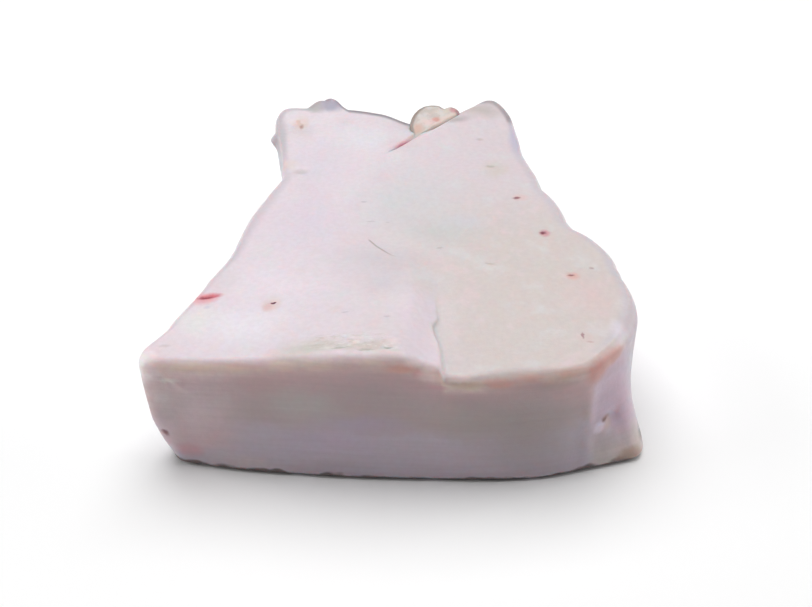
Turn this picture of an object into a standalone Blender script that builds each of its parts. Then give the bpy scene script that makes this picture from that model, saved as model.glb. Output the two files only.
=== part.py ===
"""Pork belly slab: one thick block of white pork fat, trimmed by hand.

The cut front face looks towards -Y. The block narrows towards its back, its right side runs in
shallow scallops, and a folded tag of fat stands up out of a notch in the back edge.

The whole skin is a UV sphere whose rings are laid along a profile: over the top face, round the
rim, down the wall, round the foot and under the base. Each ring takes its shape from two hand
drawn outlines, the rim's and the base's.

Plan positions are in millimetres until the mesh is written in metres. +Z is up, and the slab
lies on the plane z = 0 with the middle of its box over the origin.
"""

import math
from typing import NamedTuple

import bpy
import numpy as np
from mathutils import Matrix

MM = 0.001

# Driving dimensions, in millimetres
THICKNESS = 57.0
RIM_ROUNDING = 5.0
FOOT_ROUNDING = 3.0
# How late the wall leaves the line of the rim for that of the base: 1 is a straight wall
WALL_DELAY = 1.6

# Mesh density
SEGMENTS = 168
TOP_RINGS = 16
RIM_RINGS = 3
WALL_RINGS = 7
FOOT_RINGS = 2
UNDER_RINGS = 3
SPLINE_STEPS = 24
SHARP_ANGLE = math.radians(50)

# The point, in plan, that every ring closes in on
HUB = np.array([0.0, -5.0])

# Outline of the top face, anticlockwise from the front left corner
RIM_FRONT = [
    (-109.5, -116.5), (-96.0, -118.5), (-64.0, -120.5), (-43.0, -122.5), (-23.0, -124.5),
    (-4.0, -125.5), (8.0, -126.0), (17.0, -127.5), (38.0, -128.0), (56.0, -126.0), (74.0, -121.0),
]
RIM_RIGHT = [
    (86.0, -111.0), (95.5, -99.0), (99.6, -87.0), (95.8, -49.8), (84.2, -17.0), (79.6, -3.6),
    (70.7, 28.0), (63.6, 64.0), (62.4, 86.0), (59.2, 112.0),
]
RIM_BACK = [
    (51.5, 125.5), (40.0, 121.0), (29.0, 111.5), (16.0, 102.0), (3.0, 101.5),
    (-14.0, 112.0), (-35.0, 118.0), (-57.0, 120.0), (-71.0, 119.5),
]
RIM_LEFT = [
    (-74.8, 109.0), (-73.0, 88.0), (-69.5, 66.0), (-66.6, 47.0), (-66.3, 36.0), (-71.7, 19.7),
    (-78.5, -4.0), (-81.0, -24.0), (-83.6, -39.5), (-91.0, -59.5), (-97.8, -77.0),
    (-101.8, -89.0), (-104.0, -97.0), (-108.4, -105.0), (-111.6, -111.0),
]

# Outline of the base: set back on the left, with a squarer front right corner
BASE_FRONT = [
    (-100.0, -117.2), (-90.0, -119.8), (-70.5, -123.4), (-46.0, -125.8), (-24.0, -127.6),
    (14.7, -128.9), (40.8, -129.1), (60.0, -127.5), (81.0, -121.9), (96.0, -117.6), (102.0, -115.6),
]
BASE_RIGHT = [
    (105.5, -110.0), (104.0, -90.0), (99.0, -62.0), (90.0, -30.0), (80.0, 0.0),
    (71.0, 30.0), (66.0, 60.0), (62.0, 95.0), (56.0, 114.0),
]
BASE_BACK = [
    (45.0, 120.0), (25.0, 108.0), (6.0, 101.0), (-15.0, 108.0), (-33.0, 112.0), (-57.0, 112.0),
]
BASE_LEFT = [
    (-68.0, 100.0), (-67.0, 75.0), (-62.0, 45.0), (-63.0, 20.0), (-71.0, -10.0), (-78.0, -40.0),
    (-88.0, -66.0), (-96.5, -88.0), (-102.0, -101.0), (-103.5, -111.0),
]


class Lobe(NamedTuple):
    """A rounded swelling of the rim outline, centred on the direction of the point (x, y)."""

    x: float
    y: float
    half_width: float
    reach: float


RIM_LOBES = [
    Lobe(67.5, 44.0, 17.0, 1.2),
    Lobe(76.0, 11.0, 16.0, 2.2),
    Lobe(92.0, -32.5, 17.0, 6.4),
    Lobe(99.5, -67.0, 18.0, 4.0),
    Lobe(-44.5, 120.0, 13.0, 6.4),
    Lobe(-74.0, 90.0, 7.0, 2.0),
]


class Waist(NamedTuple):
    """A swelling, or a hollow where reach is negative, of the lower half of the wall."""

    x: float
    y: float
    half_width: float
    reach: float


WALL_WAISTS = [
    Waist(-108.0, -110.0, 22.0, 2.5),
    Waist(100.0, -90.0, 40.0, -0.8),
    Waist(-70.0, 20.0, 45.0, -2.0),
    Waist(-20.0, 112.0, 30.0, 2.5),
]


class Hill(NamedTuple):
    """A bell-shaped rise of the top face, or a dip where rise is negative."""

    x: float
    y: float
    spread_x: float
    spread_y: float
    rise: float


TOP_HILLS = [
    Hill(48.0, 122.0, 16.0, 16.0, 1.0),
    Hill(10.0, 98.0, 12.0, 12.0, -1.2),
    Hill(-44.5, 122.0, 10.0, 7.0, 5.0),
    Hill(-60.0, 94.0, 7.0, 9.0, -1.5),
    Hill(-56.0, 42.0, 10.0, 6.0, -1.2),
    Hill(60.0, -70.0, 34.0, 40.0, 1.5),
    Hill(5.0, -10.0, 40.0, 34.0, -1.8),
]

# A layer left on the front left of the top face, which stops at a trimmed edge
LAYER_RISE = 8.5
LAYER_MIDDLE = (-8.0, -128.0)
LAYER_SPREAD = (48.0, 70.0)
LAYER_EDGE_X = (1.0, 15.0)

# A fold that runs from inside the top face to the notch: the right side of it rides up
FOLD_START = np.array([-10.0, 64.0])
FOLD_END = np.array([26.0, 105.0])
FOLD_RISE = 3.0
FOLD_LIP = 5.0
FOLD_SPREAD = 26.0

# The folded tag of fat that hangs down the notch: two lumps grown together
TAG_SEGMENTS = 24
TAG_RINGS = 16
TAG_LOBES = 5
TAG_LOBE_DEPTH = 0.05
# Below 1, a lump is fuller than an egg towards its top and its sides
TAG_FULLNESS = 0.75

FAT_COLOUR = (0.80, 0.68, 0.70, 1.0)
FAT_ROUGHNESS = 0.45


def clear_scene():
    for old in list(bpy.data.objects):
        bpy.data.objects.remove(old, do_unlink=True)


def fat_material():
    material = bpy.data.materials.new("pork_fat")
    material.use_nodes = True
    shader = material.node_tree.nodes["Principled BSDF"]
    shader.inputs["Base Color"].default_value = FAT_COLOUR
    shader.inputs["Roughness"].default_value = FAT_ROUGHNESS
    shader.inputs["Metallic"].default_value = 0.0
    return material


def smooth_step(t):
    t = np.clip(t, 0.0, 1.0)
    return t * t * (3.0 - 2.0 * t)


def spline_piece(before, start, end, after):
    """Centripetal Catmull-Rom curve from start to end, without its last point."""
    times = [0.0]
    for a, b in ((before, start), (start, end), (end, after)):
        times.append(times[-1] + math.sqrt(math.dist(a, b)))
    points = [np.array(p) for p in (before, start, end, after)]
    t = np.linspace(times[1], times[2], SPLINE_STEPS, endpoint=False)[:, None]
    for width in (1, 2, 3):
        mixed = []
        for i in range(len(points) - 1):
            # The last pyramid level runs between the two middle times only
            low, high = (times[1], times[2]) if width == 3 else (times[i], times[i + width])
            share = (t - low) / (high - low)
            mixed.append((1.0 - share) * points[i] + share * points[i + 1])
        points = mixed
    return points[0]


def outline_radius(points, angles):
    """Distance from the hub to a closed smooth outline through the points, at each angle."""
    count = len(points)
    pieces = [
        spline_piece(points[i - 1], points[i], points[(i + 1) % count], points[(i + 2) % count])
        for i in range(count)
    ]
    arms = np.concatenate(pieces) - HUB
    turned = np.arctan2(arms[:, 1], arms[:, 0])
    order = np.argsort(turned)
    length = np.hypot(arms[:, 0], arms[:, 1])
    return np.interp(angles, turned[order], length[order], period=2.0 * math.pi)


def sideways(angles, x, y):
    """How far, along the outline, each angle lies from the direction of the point (x, y)."""
    arm = np.array([x, y]) - HUB
    turned = angles - math.atan2(arm[1], arm[0])
    return ((turned + math.pi) % (2.0 * math.pi) - math.pi) * math.hypot(*arm)


def even_angles(count):
    """Angles at which the rim outline is cut into pieces of one length."""
    angles = np.linspace(-math.pi, math.pi, 40 * count + 1)
    radius = rim_radius(angles)
    walk = np.hypot(np.diff(radius * np.cos(angles)), np.diff(radius * np.sin(angles)))
    walked = np.concatenate([[0.0], np.cumsum(walk)])
    return np.interp(np.arange(count) / count * walked[-1], walked, angles)


def rim_radius(angles):
    radius = outline_radius(RIM_FRONT + RIM_RIGHT + RIM_BACK + RIM_LEFT, angles)
    for lobe in RIM_LOBES:
        across = sideways(angles, lobe.x, lobe.y) / lobe.half_width
        radius += lobe.reach * np.clip(1.0 - across**2, 0.0, None)
    return radius


def base_radius(angles):
    return outline_radius(BASE_FRONT + BASE_RIGHT + BASE_BACK + BASE_LEFT, angles)


def waist(angles):
    total = np.zeros_like(angles)
    for place in WALL_WAISTS:
        total += place.reach * np.exp(-((sideways(angles, place.x, place.y) / place.half_width) ** 2))
    return total


def layer_height(x, y):
    """The swelling of the left layer, cut off along its trimmed edge."""
    swell = np.exp(-(((x - LAYER_MIDDLE[0]) / LAYER_SPREAD[0]) ** 2))
    swell *= np.exp(-(((y - LAYER_MIDDLE[1]) / LAYER_SPREAD[1]) ** 2))
    start, end = LAYER_EDGE_X
    return LAYER_RISE * swell * (1.0 - smooth_step((x - start) / (end - start)))


def fold_height(x, y):
    """The lip right of the fold: it grows along the fold and dies away from it."""
    run = FOLD_END - FOLD_START
    length = math.hypot(*run)
    along = ((x - FOLD_START[0]) * run[0] + (y - FOLD_START[1]) * run[1]) / length**2
    right = ((x - FOLD_START[0]) * run[1] - (y - FOLD_START[1]) * run[0]) / length
    fade = np.exp(-((np.clip(right, 0.0, None) / FOLD_SPREAD) ** 2))
    return FOLD_RISE * smooth_step(along) * smooth_step(right / FOLD_LIP) * fade


def top_height(x, y):
    z = THICKNESS + layer_height(x, y) + fold_height(x, y)
    for hill in TOP_HILLS:
        east = (x - hill.x) / hill.spread_x
        north = (y - hill.y) / hill.spread_y
        z = z + hill.rise * np.exp(-(east**2 + north**2))
    return z


class Lump(NamedTuple):
    """A full, lumpy egg: where its middle is, and its half sizes."""

    middle: tuple
    half_size: tuple


TAG_LUMPS = [
    Lump((14.5, 103.0, 47.0), (13.0, 12.0, 17.5)),
    Lump((26.0, 106.5, 50.0), (7.0, 9.5, 11.5)),
]


class Station(NamedTuple):
    """Where one ring lies on the profile, from the top pole to the bottom one.

    share: size of the ring next to the rim's or foot's last ring, 1 on the wall.
    inset: how far the ring is drawn in from the wall, in millimetres.
    down: 0 at the rim and 1 at the foot.
    rise: height over the wall's own line, in millimetres.
    """

    share: float
    inset: float
    down: float
    rise: float


def profile():
    stations = []
    for i in range(TOP_RINGS):
        stations.append(Station((i + 1) / TOP_RINGS, RIM_ROUNDING, 0.0, RIM_ROUNDING))
    for i in range(RIM_RINGS):
        turn = math.pi / 2 * (i + 1) / RIM_RINGS
        inset = RIM_ROUNDING * (1.0 - math.sin(turn))
        stations.append(Station(1.0, inset, 0.0, RIM_ROUNDING * math.cos(turn)))
    for i in range(WALL_RINGS):
        stations.append(Station(1.0, 0.0, (i + 1) / WALL_RINGS, 0.0))
    for i in range(FOOT_RINGS):
        turn = math.pi / 2 * (i + 1) / FOOT_RINGS
        inset = FOOT_ROUNDING * (1.0 - math.cos(turn))
        stations.append(Station(1.0, inset, 1.0, -FOOT_ROUNDING * math.sin(turn)))
    for i in range(UNDER_RINGS):
        share = 1.0 - (i + 1) / (UNDER_RINGS + 1)
        stations.append(Station(share, FOOT_ROUNDING, 1.0, -FOOT_ROUNDING))
    return stations


def slab_points(angles, ring):
    """Plan and height of each vertex, from its angle round the hub and its ring's number."""
    # The poles are rings of no size, before the first station and after the last one
    stations = profile()
    poles = [stations[0]._replace(share=0.0)], [stations[-1]._replace(share=0.0)]
    share, inset, down, rise = np.array(poles[0] + stations + poles[1]).T[:, ring]

    rim, base = rim_radius(angles), base_radius(angles)
    shift = down**WALL_DELAY
    wall = rim * (1.0 - shift) + base * shift + waist(angles) * np.sin(math.pi * shift)
    across = np.cos(angles), np.sin(angles)
    x = HUB[0] + (wall - inset) * share * across[0]
    y = HUB[1] + (wall - inset) * share * across[1]

    edge_x = HUB[0] + (rim - RIM_ROUNDING) * across[0]
    edge_y = HUB[1] + (rim - RIM_ROUNDING) * across[1]
    rim_height = top_height(edge_x, edge_y)
    z = (rim_height - RIM_ROUNDING) * (1.0 - down) + FOOT_ROUNDING * down + rise
    on_top = ring <= TOP_RINGS
    z[on_top] = top_height(x[on_top], y[on_top])
    return np.column_stack([x, y, z])


def vertices_of(mesh):
    coordinates = np.empty(len(mesh.vertices) * 3)
    mesh.vertices.foreach_get("co", coordinates)
    return coordinates.reshape(-1, 3)


def put_vertices(mesh, points_mm):
    mesh.vertices.foreach_set("co", (points_mm * MM).ravel())
    mesh.update()


def build_slab():
    rings = len(profile()) + 1
    bpy.ops.mesh.primitive_uv_sphere_add(segments=SEGMENTS, ring_count=rings, radius=1.0)
    slab = bpy.context.object
    slab.name = "slab"
    unit = vertices_of(slab.data)
    turns = np.arctan2(unit[:, 1], unit[:, 0]) / (2.0 * math.pi)
    angles = even_angles(SEGMENTS)[np.rint(turns * SEGMENTS).astype(int) % SEGMENTS]
    latitude = np.arccos(np.clip(unit[:, 2], -1.0, 1.0)) / math.pi
    ring = np.rint(latitude * rings).astype(int)
    put_vertices(slab.data, slab_points(angles, ring))
    return slab


def build_lump(lump):
    """A full egg whose outline, seen from the front, has a few rounded lobes."""
    bpy.ops.mesh.primitive_uv_sphere_add(segments=TAG_SEGMENTS, ring_count=TAG_RINGS, radius=1.0)
    egg = bpy.context.object
    unit = vertices_of(egg.data)
    round_front = np.arctan2(unit[:, 2], unit[:, 0])
    lobed = 1.0 + TAG_LOBE_DEPTH * np.cos(TAG_LOBES * round_front)
    full = np.sign(unit) * np.abs(unit) ** TAG_FULLNESS
    shape = np.column_stack([full[:, 0] * lobed, unit[:, 1], full[:, 2] * lobed])
    put_vertices(egg.data, shape * lump.half_size + lump.middle)
    return egg


def join(body, lumps):
    """Fuses the objects of the lumps' collection into the body, and removes them."""
    union = body.modifiers.new("join", "BOOLEAN")
    union.operation = "UNION"
    union.solver = "EXACT"
    union.operand_type = "COLLECTION"
    union.collection = lumps
    bpy.context.view_layer.objects.active = body
    bpy.ops.object.modifier_apply(modifier=union.name)
    for lump in list(lumps.objects):
        bpy.data.objects.remove(lump, do_unlink=True)
    bpy.data.collections.remove(lumps)


def move_to(collection, thing):
    for old in list(thing.users_collection):
        old.objects.unlink(thing)
    collection.objects.link(thing)


def put_over_origin(body):
    """Slides the mesh in plan so that the middle of its box is over the origin."""
    points = vertices_of(body.data)
    middle = (points.min(axis=0) + points.max(axis=0)) / 2.0
    body.data.transform(Matrix.Translation((-middle[0], -middle[1], 0.0)))


def main():
    clear_scene()
    parts = bpy.data.collections.new("pork_belly_slab")
    lumps = bpy.data.collections.new("lumps")
    for collection in (parts, lumps):
        bpy.context.scene.collection.children.link(collection)

    slab = build_slab()
    move_to(parts, slab)
    for lump in TAG_LUMPS:
        move_to(lumps, build_lump(lump))
    join(slab, lumps)
    put_over_origin(slab)

    slab.data.materials.clear()
    slab.data.materials.append(fat_material())
    slab.data.shade_smooth()
    slab.data.set_sharp_from_angle(angle=SHARP_ANGLE)


main()
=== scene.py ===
"""Pork belly slab: the looks of one thick block of raw white pork fat, trimmed by hand.

The block lies on its base with the cut front face towards -Y. Its skin is one closed surface,
laid over the same two outlines as the solid, with the edge of a trimmed layer, a slit, dents and
knife marks worked into it. A folded tag of fat stands in the notch of the back edge.

Sizes in the classes are in millimetres. Meshes are written in metres, in the frame of the model.
"""

import logging
import math
from dataclasses import dataclass, field
from enum import Enum
from itertools import product
from typing import Any, Callable, Sequence, Union

import bpy
import numpy as np
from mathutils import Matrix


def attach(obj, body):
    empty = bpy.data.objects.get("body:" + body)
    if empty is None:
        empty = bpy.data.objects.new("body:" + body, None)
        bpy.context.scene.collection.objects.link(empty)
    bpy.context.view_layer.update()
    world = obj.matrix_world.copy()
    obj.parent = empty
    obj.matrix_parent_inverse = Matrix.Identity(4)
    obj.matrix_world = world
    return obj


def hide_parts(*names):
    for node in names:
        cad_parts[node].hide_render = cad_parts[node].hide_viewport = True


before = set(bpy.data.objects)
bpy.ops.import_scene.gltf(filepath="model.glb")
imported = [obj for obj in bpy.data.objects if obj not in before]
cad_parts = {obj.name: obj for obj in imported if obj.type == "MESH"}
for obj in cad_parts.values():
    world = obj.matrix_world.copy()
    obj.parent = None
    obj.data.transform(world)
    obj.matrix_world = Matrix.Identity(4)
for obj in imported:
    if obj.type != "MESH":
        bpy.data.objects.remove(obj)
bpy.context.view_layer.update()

MM = 0.001
BODY = "root"
NODE = "slab"
TOP_HEIGHT = 57.0
UNDER_DEPTH = 10.0
POLE_DEPTH = 90.0

Plan = tuple[float, float]
Spot = tuple[float, float, float]
Colour = tuple[float, float, float, float]

log = logging.getLogger("pork_belly_slab")


def smooth_step(t: np.ndarray) -> np.ndarray:
    """Eases from 0 to 1: t squared times (3 - 2 t), with t held between 0 and 1."""
    t = np.clip(t, 0.0, 1.0)
    return t * t * (3.0 - 2.0 * t)


def between(values: np.ndarray, ends: Plan) -> np.ndarray:
    """Eases from 0 at the first end to 1 at the second, by the smooth step of the share."""
    return smooth_step((values - ends[0]) / (ends[1] - ends[0]))


def bell(x: np.ndarray, y: np.ndarray, half_x: float, half_y: float) -> np.ndarray:
    """A round hill of height 1 over (0, 0): e to the power of minus the squared distance."""
    return np.exp(-((x / half_x) ** 2) - (y / half_y) ** 2)


def paint(red: float, green: float, blue: float) -> Colour:
    """Turns a screen colour, 0 to 255 per channel, into the linear colour that shaders take.

    Args:
        red, green, blue: levels from 0 to 255.

    Returns:
        Red, green, blue and an alpha of 1, each between 0 and 1.
    """
    parts = []
    for level in (red, green, blue):
        share = level / 255.0
        parts.append(share / 12.92 if share <= 0.04045 else ((share + 0.055) / 1.055) ** 2.4)
    return parts[0], parts[1], parts[2], 1.0


class Unevenness:
    """Smooth value noise, the natural unevenness of a surface.

    Random heights stand on the corners of a cubic lattice, and a point between them takes the
    mean of its eight corners, weighted by smooth steps along the three axes.
    """

    CELLS = 32

    def __init__(self, seed: int) -> None:
        """Draws the lattice's heights, between -1 and 1, from the seed."""
        shape = (self.CELLS, self.CELLS, self.CELLS)
        self.heights = np.random.default_rng(seed).uniform(-1.0, 1.0, shape)

    def at(self, x: np.ndarray, y: np.ndarray, z: np.ndarray, size: Spot) -> np.ndarray:
        """Height of the noise at each point.

        Args:
            x, y, z: places in millimetres, arrays of one shape.
            size: length of a lattice cell along each axis, in millimetres.

        Returns:
            Values between -1 and 1, in an array of the same shape.
        """
        cells, shares = [], []
        for values, length in zip((x, y, z), size):
            cell = np.floor(values / length)
            cells.append(cell.astype(int))
            shares.append(smooth_step(values / length - cell))
        total = np.zeros(np.shape(x))
        for corner in product((0, 1), repeat=3):
            weight = np.ones(np.shape(x))
            index = []
            for step, cell, share in zip(corner, cells, shares):
                weight = weight * (share if step else 1.0 - share)
                index.append((cell + step) % self.CELLS)
            total += weight * self.heights[index[0], index[1], index[2]]
        return total


@dataclass(frozen=True)
class Trail:
    """A line drawn on the top face, through plan points in millimetres."""

    points: tuple[Plan, ...]

    def measure(self, x: np.ndarray, y: np.ndarray) -> tuple[np.ndarray, np.ndarray, np.ndarray]:
        """Measures each place against the line.

        Each straight piece gives the nearest point on it, by the projection of the place held
        between its ends, and the nearest of all the pieces counts.

        Args:
            x, y: places in plan, in millimetres.

        Returns:
            The distance to the line, the share of its length walked at the nearest point, and
            the signed distance, which is positive on the right of the line.
        """
        ends = np.array(self.points)
        lengths = np.hypot(*np.diff(ends, axis=0).T)
        walked = np.concatenate([[0.0], np.cumsum(lengths)])
        best = np.full(np.shape(x), 1e9)
        share, side = np.zeros(np.shape(x)), np.zeros(np.shape(x))
        for start, end, length, before in zip(ends, ends[1:], lengths, walked):
            run = (end - start) / length
            east, north = x - start[0], y - start[1]
            along = np.clip(east * run[0] + north * run[1], 0.0, length)
            distance = np.hypot(east - along * run[0], north - along * run[1])
            nearer = distance < best
            best = np.where(nearer, distance, best)
            share = np.where(nearer, (before + along) / walked[-1], share)
            right = east * run[1] - north * run[0]
            side = np.where(nearer, np.where(right < 0.0, -distance, distance), side)
        return best, share, side


@dataclass(frozen=True)
class Outline:
    """A closed smooth line round the hub, through plan points given anticlockwise."""

    points: tuple[Plan, ...]
    hub: Plan = (0.0, -5.0)
    steps: int = 24

    def radius(self, angles: np.ndarray) -> np.ndarray:
        """Distance from the hub to the line at each angle.

        Between two points runs a centripetal Catmull-Rom curve: the time from a point to the
        next is the square root of their distance, and straight blends over one, two and three
        spans are blended again, in a pyramid of three levels.

        Args:
            angles: directions from the hub, in radians.

        Returns:
            The distance at each angle, in millimetres.
        """
        ring = np.array(self.points)
        knots = np.stack([np.roll(ring, shift, axis=0) for shift in (1, 0, -1, -2)])
        gaps = np.sqrt(np.linalg.norm(np.diff(knots, axis=0), axis=2))
        times = np.concatenate([np.zeros((1, len(ring))), np.cumsum(gaps, axis=0)])
        inside = np.arange(self.steps) / self.steps
        moment = times[1][:, None] + inside * (times[2] - times[1])[:, None]
        level = [np.repeat(knot[:, None, :], self.steps, axis=1) for knot in knots]
        for width in (1, 2, 3):
            mixed = []
            for i in range(len(level) - 1):
                low, high = (1, 2) if width == 3 else (i, i + width)
                part = (moment - times[low][:, None]) / (times[high] - times[low])[:, None]
                mixed.append((1.0 - part[..., None]) * level[i] + part[..., None] * level[i + 1])
            level = mixed
        arms = level[0].reshape(-1, 2) - self.hub
        turned = np.arctan2(arms[:, 1], arms[:, 0])
        order = np.argsort(turned)
        length = np.hypot(arms[:, 0], arms[:, 1])
        return np.interp(angles, turned[order], length[order], period=2.0 * math.pi)

    def sideways(self, angles: np.ndarray, place: Plan) -> np.ndarray:
        """How far, along the line, each angle lies from the direction of the place.

        Args:
            angles: directions from the hub, in radians.
            place: the plan place.

        Returns:
            Arc lengths in millimetres, negative clockwise of the place.
        """
        east, north = place[0] - self.hub[0], place[1] - self.hub[1]
        turned = angles - math.atan2(north, east)
        return ((turned + math.pi) % (2.0 * math.pi) - math.pi) * math.hypot(east, north)


@dataclass(frozen=True)
class Swelling:
    """A swelling of an outline, or a hollow where reach is negative, towards a plan place."""

    place: Plan
    half_width: float
    reach: float


@dataclass(frozen=True)
class Hill:
    """A bell-shaped rise of the top face, or a dip where rise is negative."""

    place: Plan
    spread: Plan
    rise: float


def add_hills(z: np.ndarray, x: np.ndarray, y: np.ndarray, hills: Sequence[Hill]) -> np.ndarray:
    """Adds hills to heights: each is its rise times a bell over its place.

    Args:
        z: the heights so far, in millimetres.
        x, y: places in plan.
        hills: the rises and dips.

    Returns:
        The new heights.
    """
    for hill in hills:
        z = z + hill.rise * bell(x - hill.place[0], y - hill.place[1], *hill.spread)
    return z


@dataclass(frozen=True)
class SlabForm:
    """The main form of the slab: its outlines, its thickness and the heights of its top face.

    Places here are in the drawing's frame. over_origin moves them into the model's frame, where
    the middle of the slab's box is over the origin.
    """

    thickness: float = TOP_HEIGHT
    foot_rounding: float = 3.0
    wall_delay: float = 1.6
    over_origin: Plan = (2.828, 1.826)
    rim: Outline = Outline((
        (-109.5, -116.5), (-96, -118.5), (-64, -120.5), (-43, -122.5), (-23, -124.5),
        (-4, -125.5), (8, -126), (17, -127.5), (38, -128), (56, -126),
        (74, -121), (86, -111), (95.5, -99), (99.6, -87), (95.8, -49.8),
        (84.2, -17), (79.6, -3.6), (70.7, 28), (63.6, 64), (62.4, 86), (59.2, 112),
        (51.5, 125.5), (40, 121), (29, 111.5), (16, 102), (3, 101.5),
        (-14, 112), (-35, 118), (-57, 120), (-71, 119.5), (-74.8, 109),
        (-73, 88), (-69.5, 66), (-66.6, 47), (-66.3, 36), (-71.7, 19.7),
        (-78.5, -4), (-81, -24), (-83.6, -39.5), (-91, -59.5), (-97.8, -77),
        (-101.8, -89), (-104, -97), (-108.4, -105), (-111.6, -111),
    ))
    base: Outline = Outline((
        (-100, -117.2), (-90, -119.8), (-70.5, -123.4), (-46, -125.8), (-24, -127.6),
        (14.7, -128.9), (40.8, -129.1), (60, -127.5), (81, -121.9), (96, -117.6),
        (102, -115.6), (105.5, -110), (104, -90), (99, -62), (90, -30),
        (80, 0), (71, 30), (66, 60), (62, 95), (56, 114), (45, 120),
        (25, 108), (6, 101), (-15, 108), (-33, 112), (-57, 112),
        (-68, 100), (-67, 75), (-62, 45), (-63, 20), (-71, -10),
        (-78, -40), (-88, -66), (-96.5, -88), (-102, -101), (-103.5, -111),
    ))
    lobes: tuple[Swelling, ...] = (
        Swelling((67.5, 44), 17, 1.2),
        Swelling((76, 11), 16, 2.2),
        Swelling((92, -32.5), 17, 6.4),
        Swelling((99.5, -67), 18, 4),
        Swelling((-41.2, 120), 5.6, 4.8),
        Swelling((-50, 120), 7.6, 4.6),
        Swelling((60.8, 78), 24, 0.8),
        Swelling((-95.8, -73.8), 9, -1.7),
        Swelling((-74, 90), 6, 1.2),
    )
    waists: tuple[Swelling, ...] = (
        Swelling((-108, -110), 22, 2.5),
        Swelling((100, -90), 40, -0.8),
        Swelling((-70, 20), 45, -2),
        Swelling((-20, 112), 30, 2.5),
    )
    hills: tuple[Hill, ...] = (
        Hill((48, 122), (16, 16), 1),
        Hill((10, 98), (12, 12), -1.2),
        Hill((-48.6, 121.5), (5.6, 7), 3.3),
        Hill((-41.4, 121.5), (4.2, 7), 3.8),
        Hill((-60, 94), (7, 9), -1.5),
        Hill((-56, 42), (10, 6), -1.2),
        Hill((60, -70), (34, 40), 1.5),
        Hill((5, -10), (40, 34), -1.8),
    )
    layer_rise: float = 8.5
    layer_middle: Plan = (-8.0, -128.0)
    layer_spread: Plan = (48.0, 70.0)
    layer_slope_x: Plan = (1.0, 15.0)
    layer_sink_x: Plan = (-6.0, 14.0)
    layer_front_y: Plan = (-74.0, -116.0)
    layer_edge: Trail = Trail((
        (14, -136), (14.3, -120.3), (14.1, -113.5), (13.4, -106.4), (11.9, -101.1),
        (11.1, -95.1), (13.4, -89.2), (13.1, -83.2), (12.9, -74), (12.4, -52),
    ))
    layer_edge_width: float = 1.8
    layer_end_share: float = 0.52
    fold: Trail = Trail(((-10.0, 64.0), (26.0, 105.0)))
    fold_rise: float = 3.0
    fold_lip: float = 5.0
    fold_spread: float = 26.0

    def rim_radius(self, angles: np.ndarray) -> np.ndarray:
        """The rim's line plus each lobe: reach times (1 - the squared share of its half width).

        Args:
            angles: directions from the hub, in radians.

        Returns:
            Distances from the hub, in millimetres.
        """
        radius = self.rim.radius(angles)
        for lobe in self.lobes:
            across = self.rim.sideways(angles, lobe.place) / lobe.half_width
            radius = radius + lobe.reach * np.clip(1.0 - across**2, 0.0, None)
        return radius

    def base_radius(self, angles: np.ndarray) -> np.ndarray:
        """Distance from the hub to the outline of the base."""
        return self.base.radius(angles)

    def waist(self, angles: np.ndarray) -> np.ndarray:
        """How far the middle of the wall swells: the sum of bells along the rim.

        Args:
            angles: directions from the hub, in radians.

        Returns:
            How far the wall bulges or narrows there, in millimetres.
        """
        total = np.zeros(np.shape(angles))
        for place in self.waists:
            across = self.rim.sideways(angles, place.place) / place.half_width
            total += place.reach * np.exp(-(across**2))
        return total

    def top_height(self, x: np.ndarray, y: np.ndarray) -> np.ndarray:
        """Height of the top face: thickness, layer, fold and hills added up.

        The layer is a bell that sinks towards the right: as one smooth slope at the back, and
        towards the front by about half, down to the sharp step of its trimmed edge. The fold's
        lip rides up by a smooth step to the right of its line, grows along the line and dies
        away as a bell.

        Args:
            x, y: places in plan, in millimetres.

        Returns:
            Heights over the base, in millimetres.
        """
        layer = bell(x - self.layer_middle[0], y - self.layer_middle[1], *self.layer_spread)
        slope = 1.0 - between(x, self.layer_slope_x)
        right_of_edge = self.layer_edge.measure(x, y)[2] / self.layer_edge_width + 0.5
        sinking = 1.0 - (1.0 - self.layer_end_share) * between(x, self.layer_sink_x)
        stepped = sinking * (1.0 - smooth_step(right_of_edge))
        near_front = between(y, self.layer_front_y)
        z = self.thickness + self.layer_rise * layer * (slope + (stepped - slope) * near_front)
        (x0, y0), (x1, y1) = self.fold.points
        run_x, run_y = x1 - x0, y1 - y0
        length = math.hypot(run_x, run_y)
        along = ((x - x0) * run_x + (y - y0) * run_y) / length**2
        right = ((x - x0) * run_y - (y - y0) * run_x) / length
        fade = np.exp(-((np.clip(right, 0.0, None) / self.fold_spread) ** 2))
        z = z + self.fold_rise * smooth_step(along) * smooth_step(right / self.fold_lip) * fade
        return add_hills(z, x, y, self.hills)


@dataclass(frozen=True)
class Dent:
    """A shallow mark pressed or cut into the surface, or raised where depth is negative.

    turn is in degrees, anticlockwise, and turns the mark's long side from the X axis.
    """

    place: Plan
    half: Plan
    depth: float
    turn: float = 0.0


@dataclass(frozen=True)
class WallMark:
    """A knob, where push is positive, or a nick in the wall, centred on a place in space."""

    place: Spot
    half: Spot
    push: float
    slope: float = 0.0


@dataclass(frozen=True)
class Wave:
    """Unevenness of one size: how high it is, and how much higher on the front face.

    cell is the length of the noise's cells along each axis. fine picks the second noise, and
    shift moves it in x. All are in millimetres.
    """

    cell: Spot
    height: float
    on_front: float = 0.0
    fine: bool = False
    shift: float = 0.0


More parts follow.
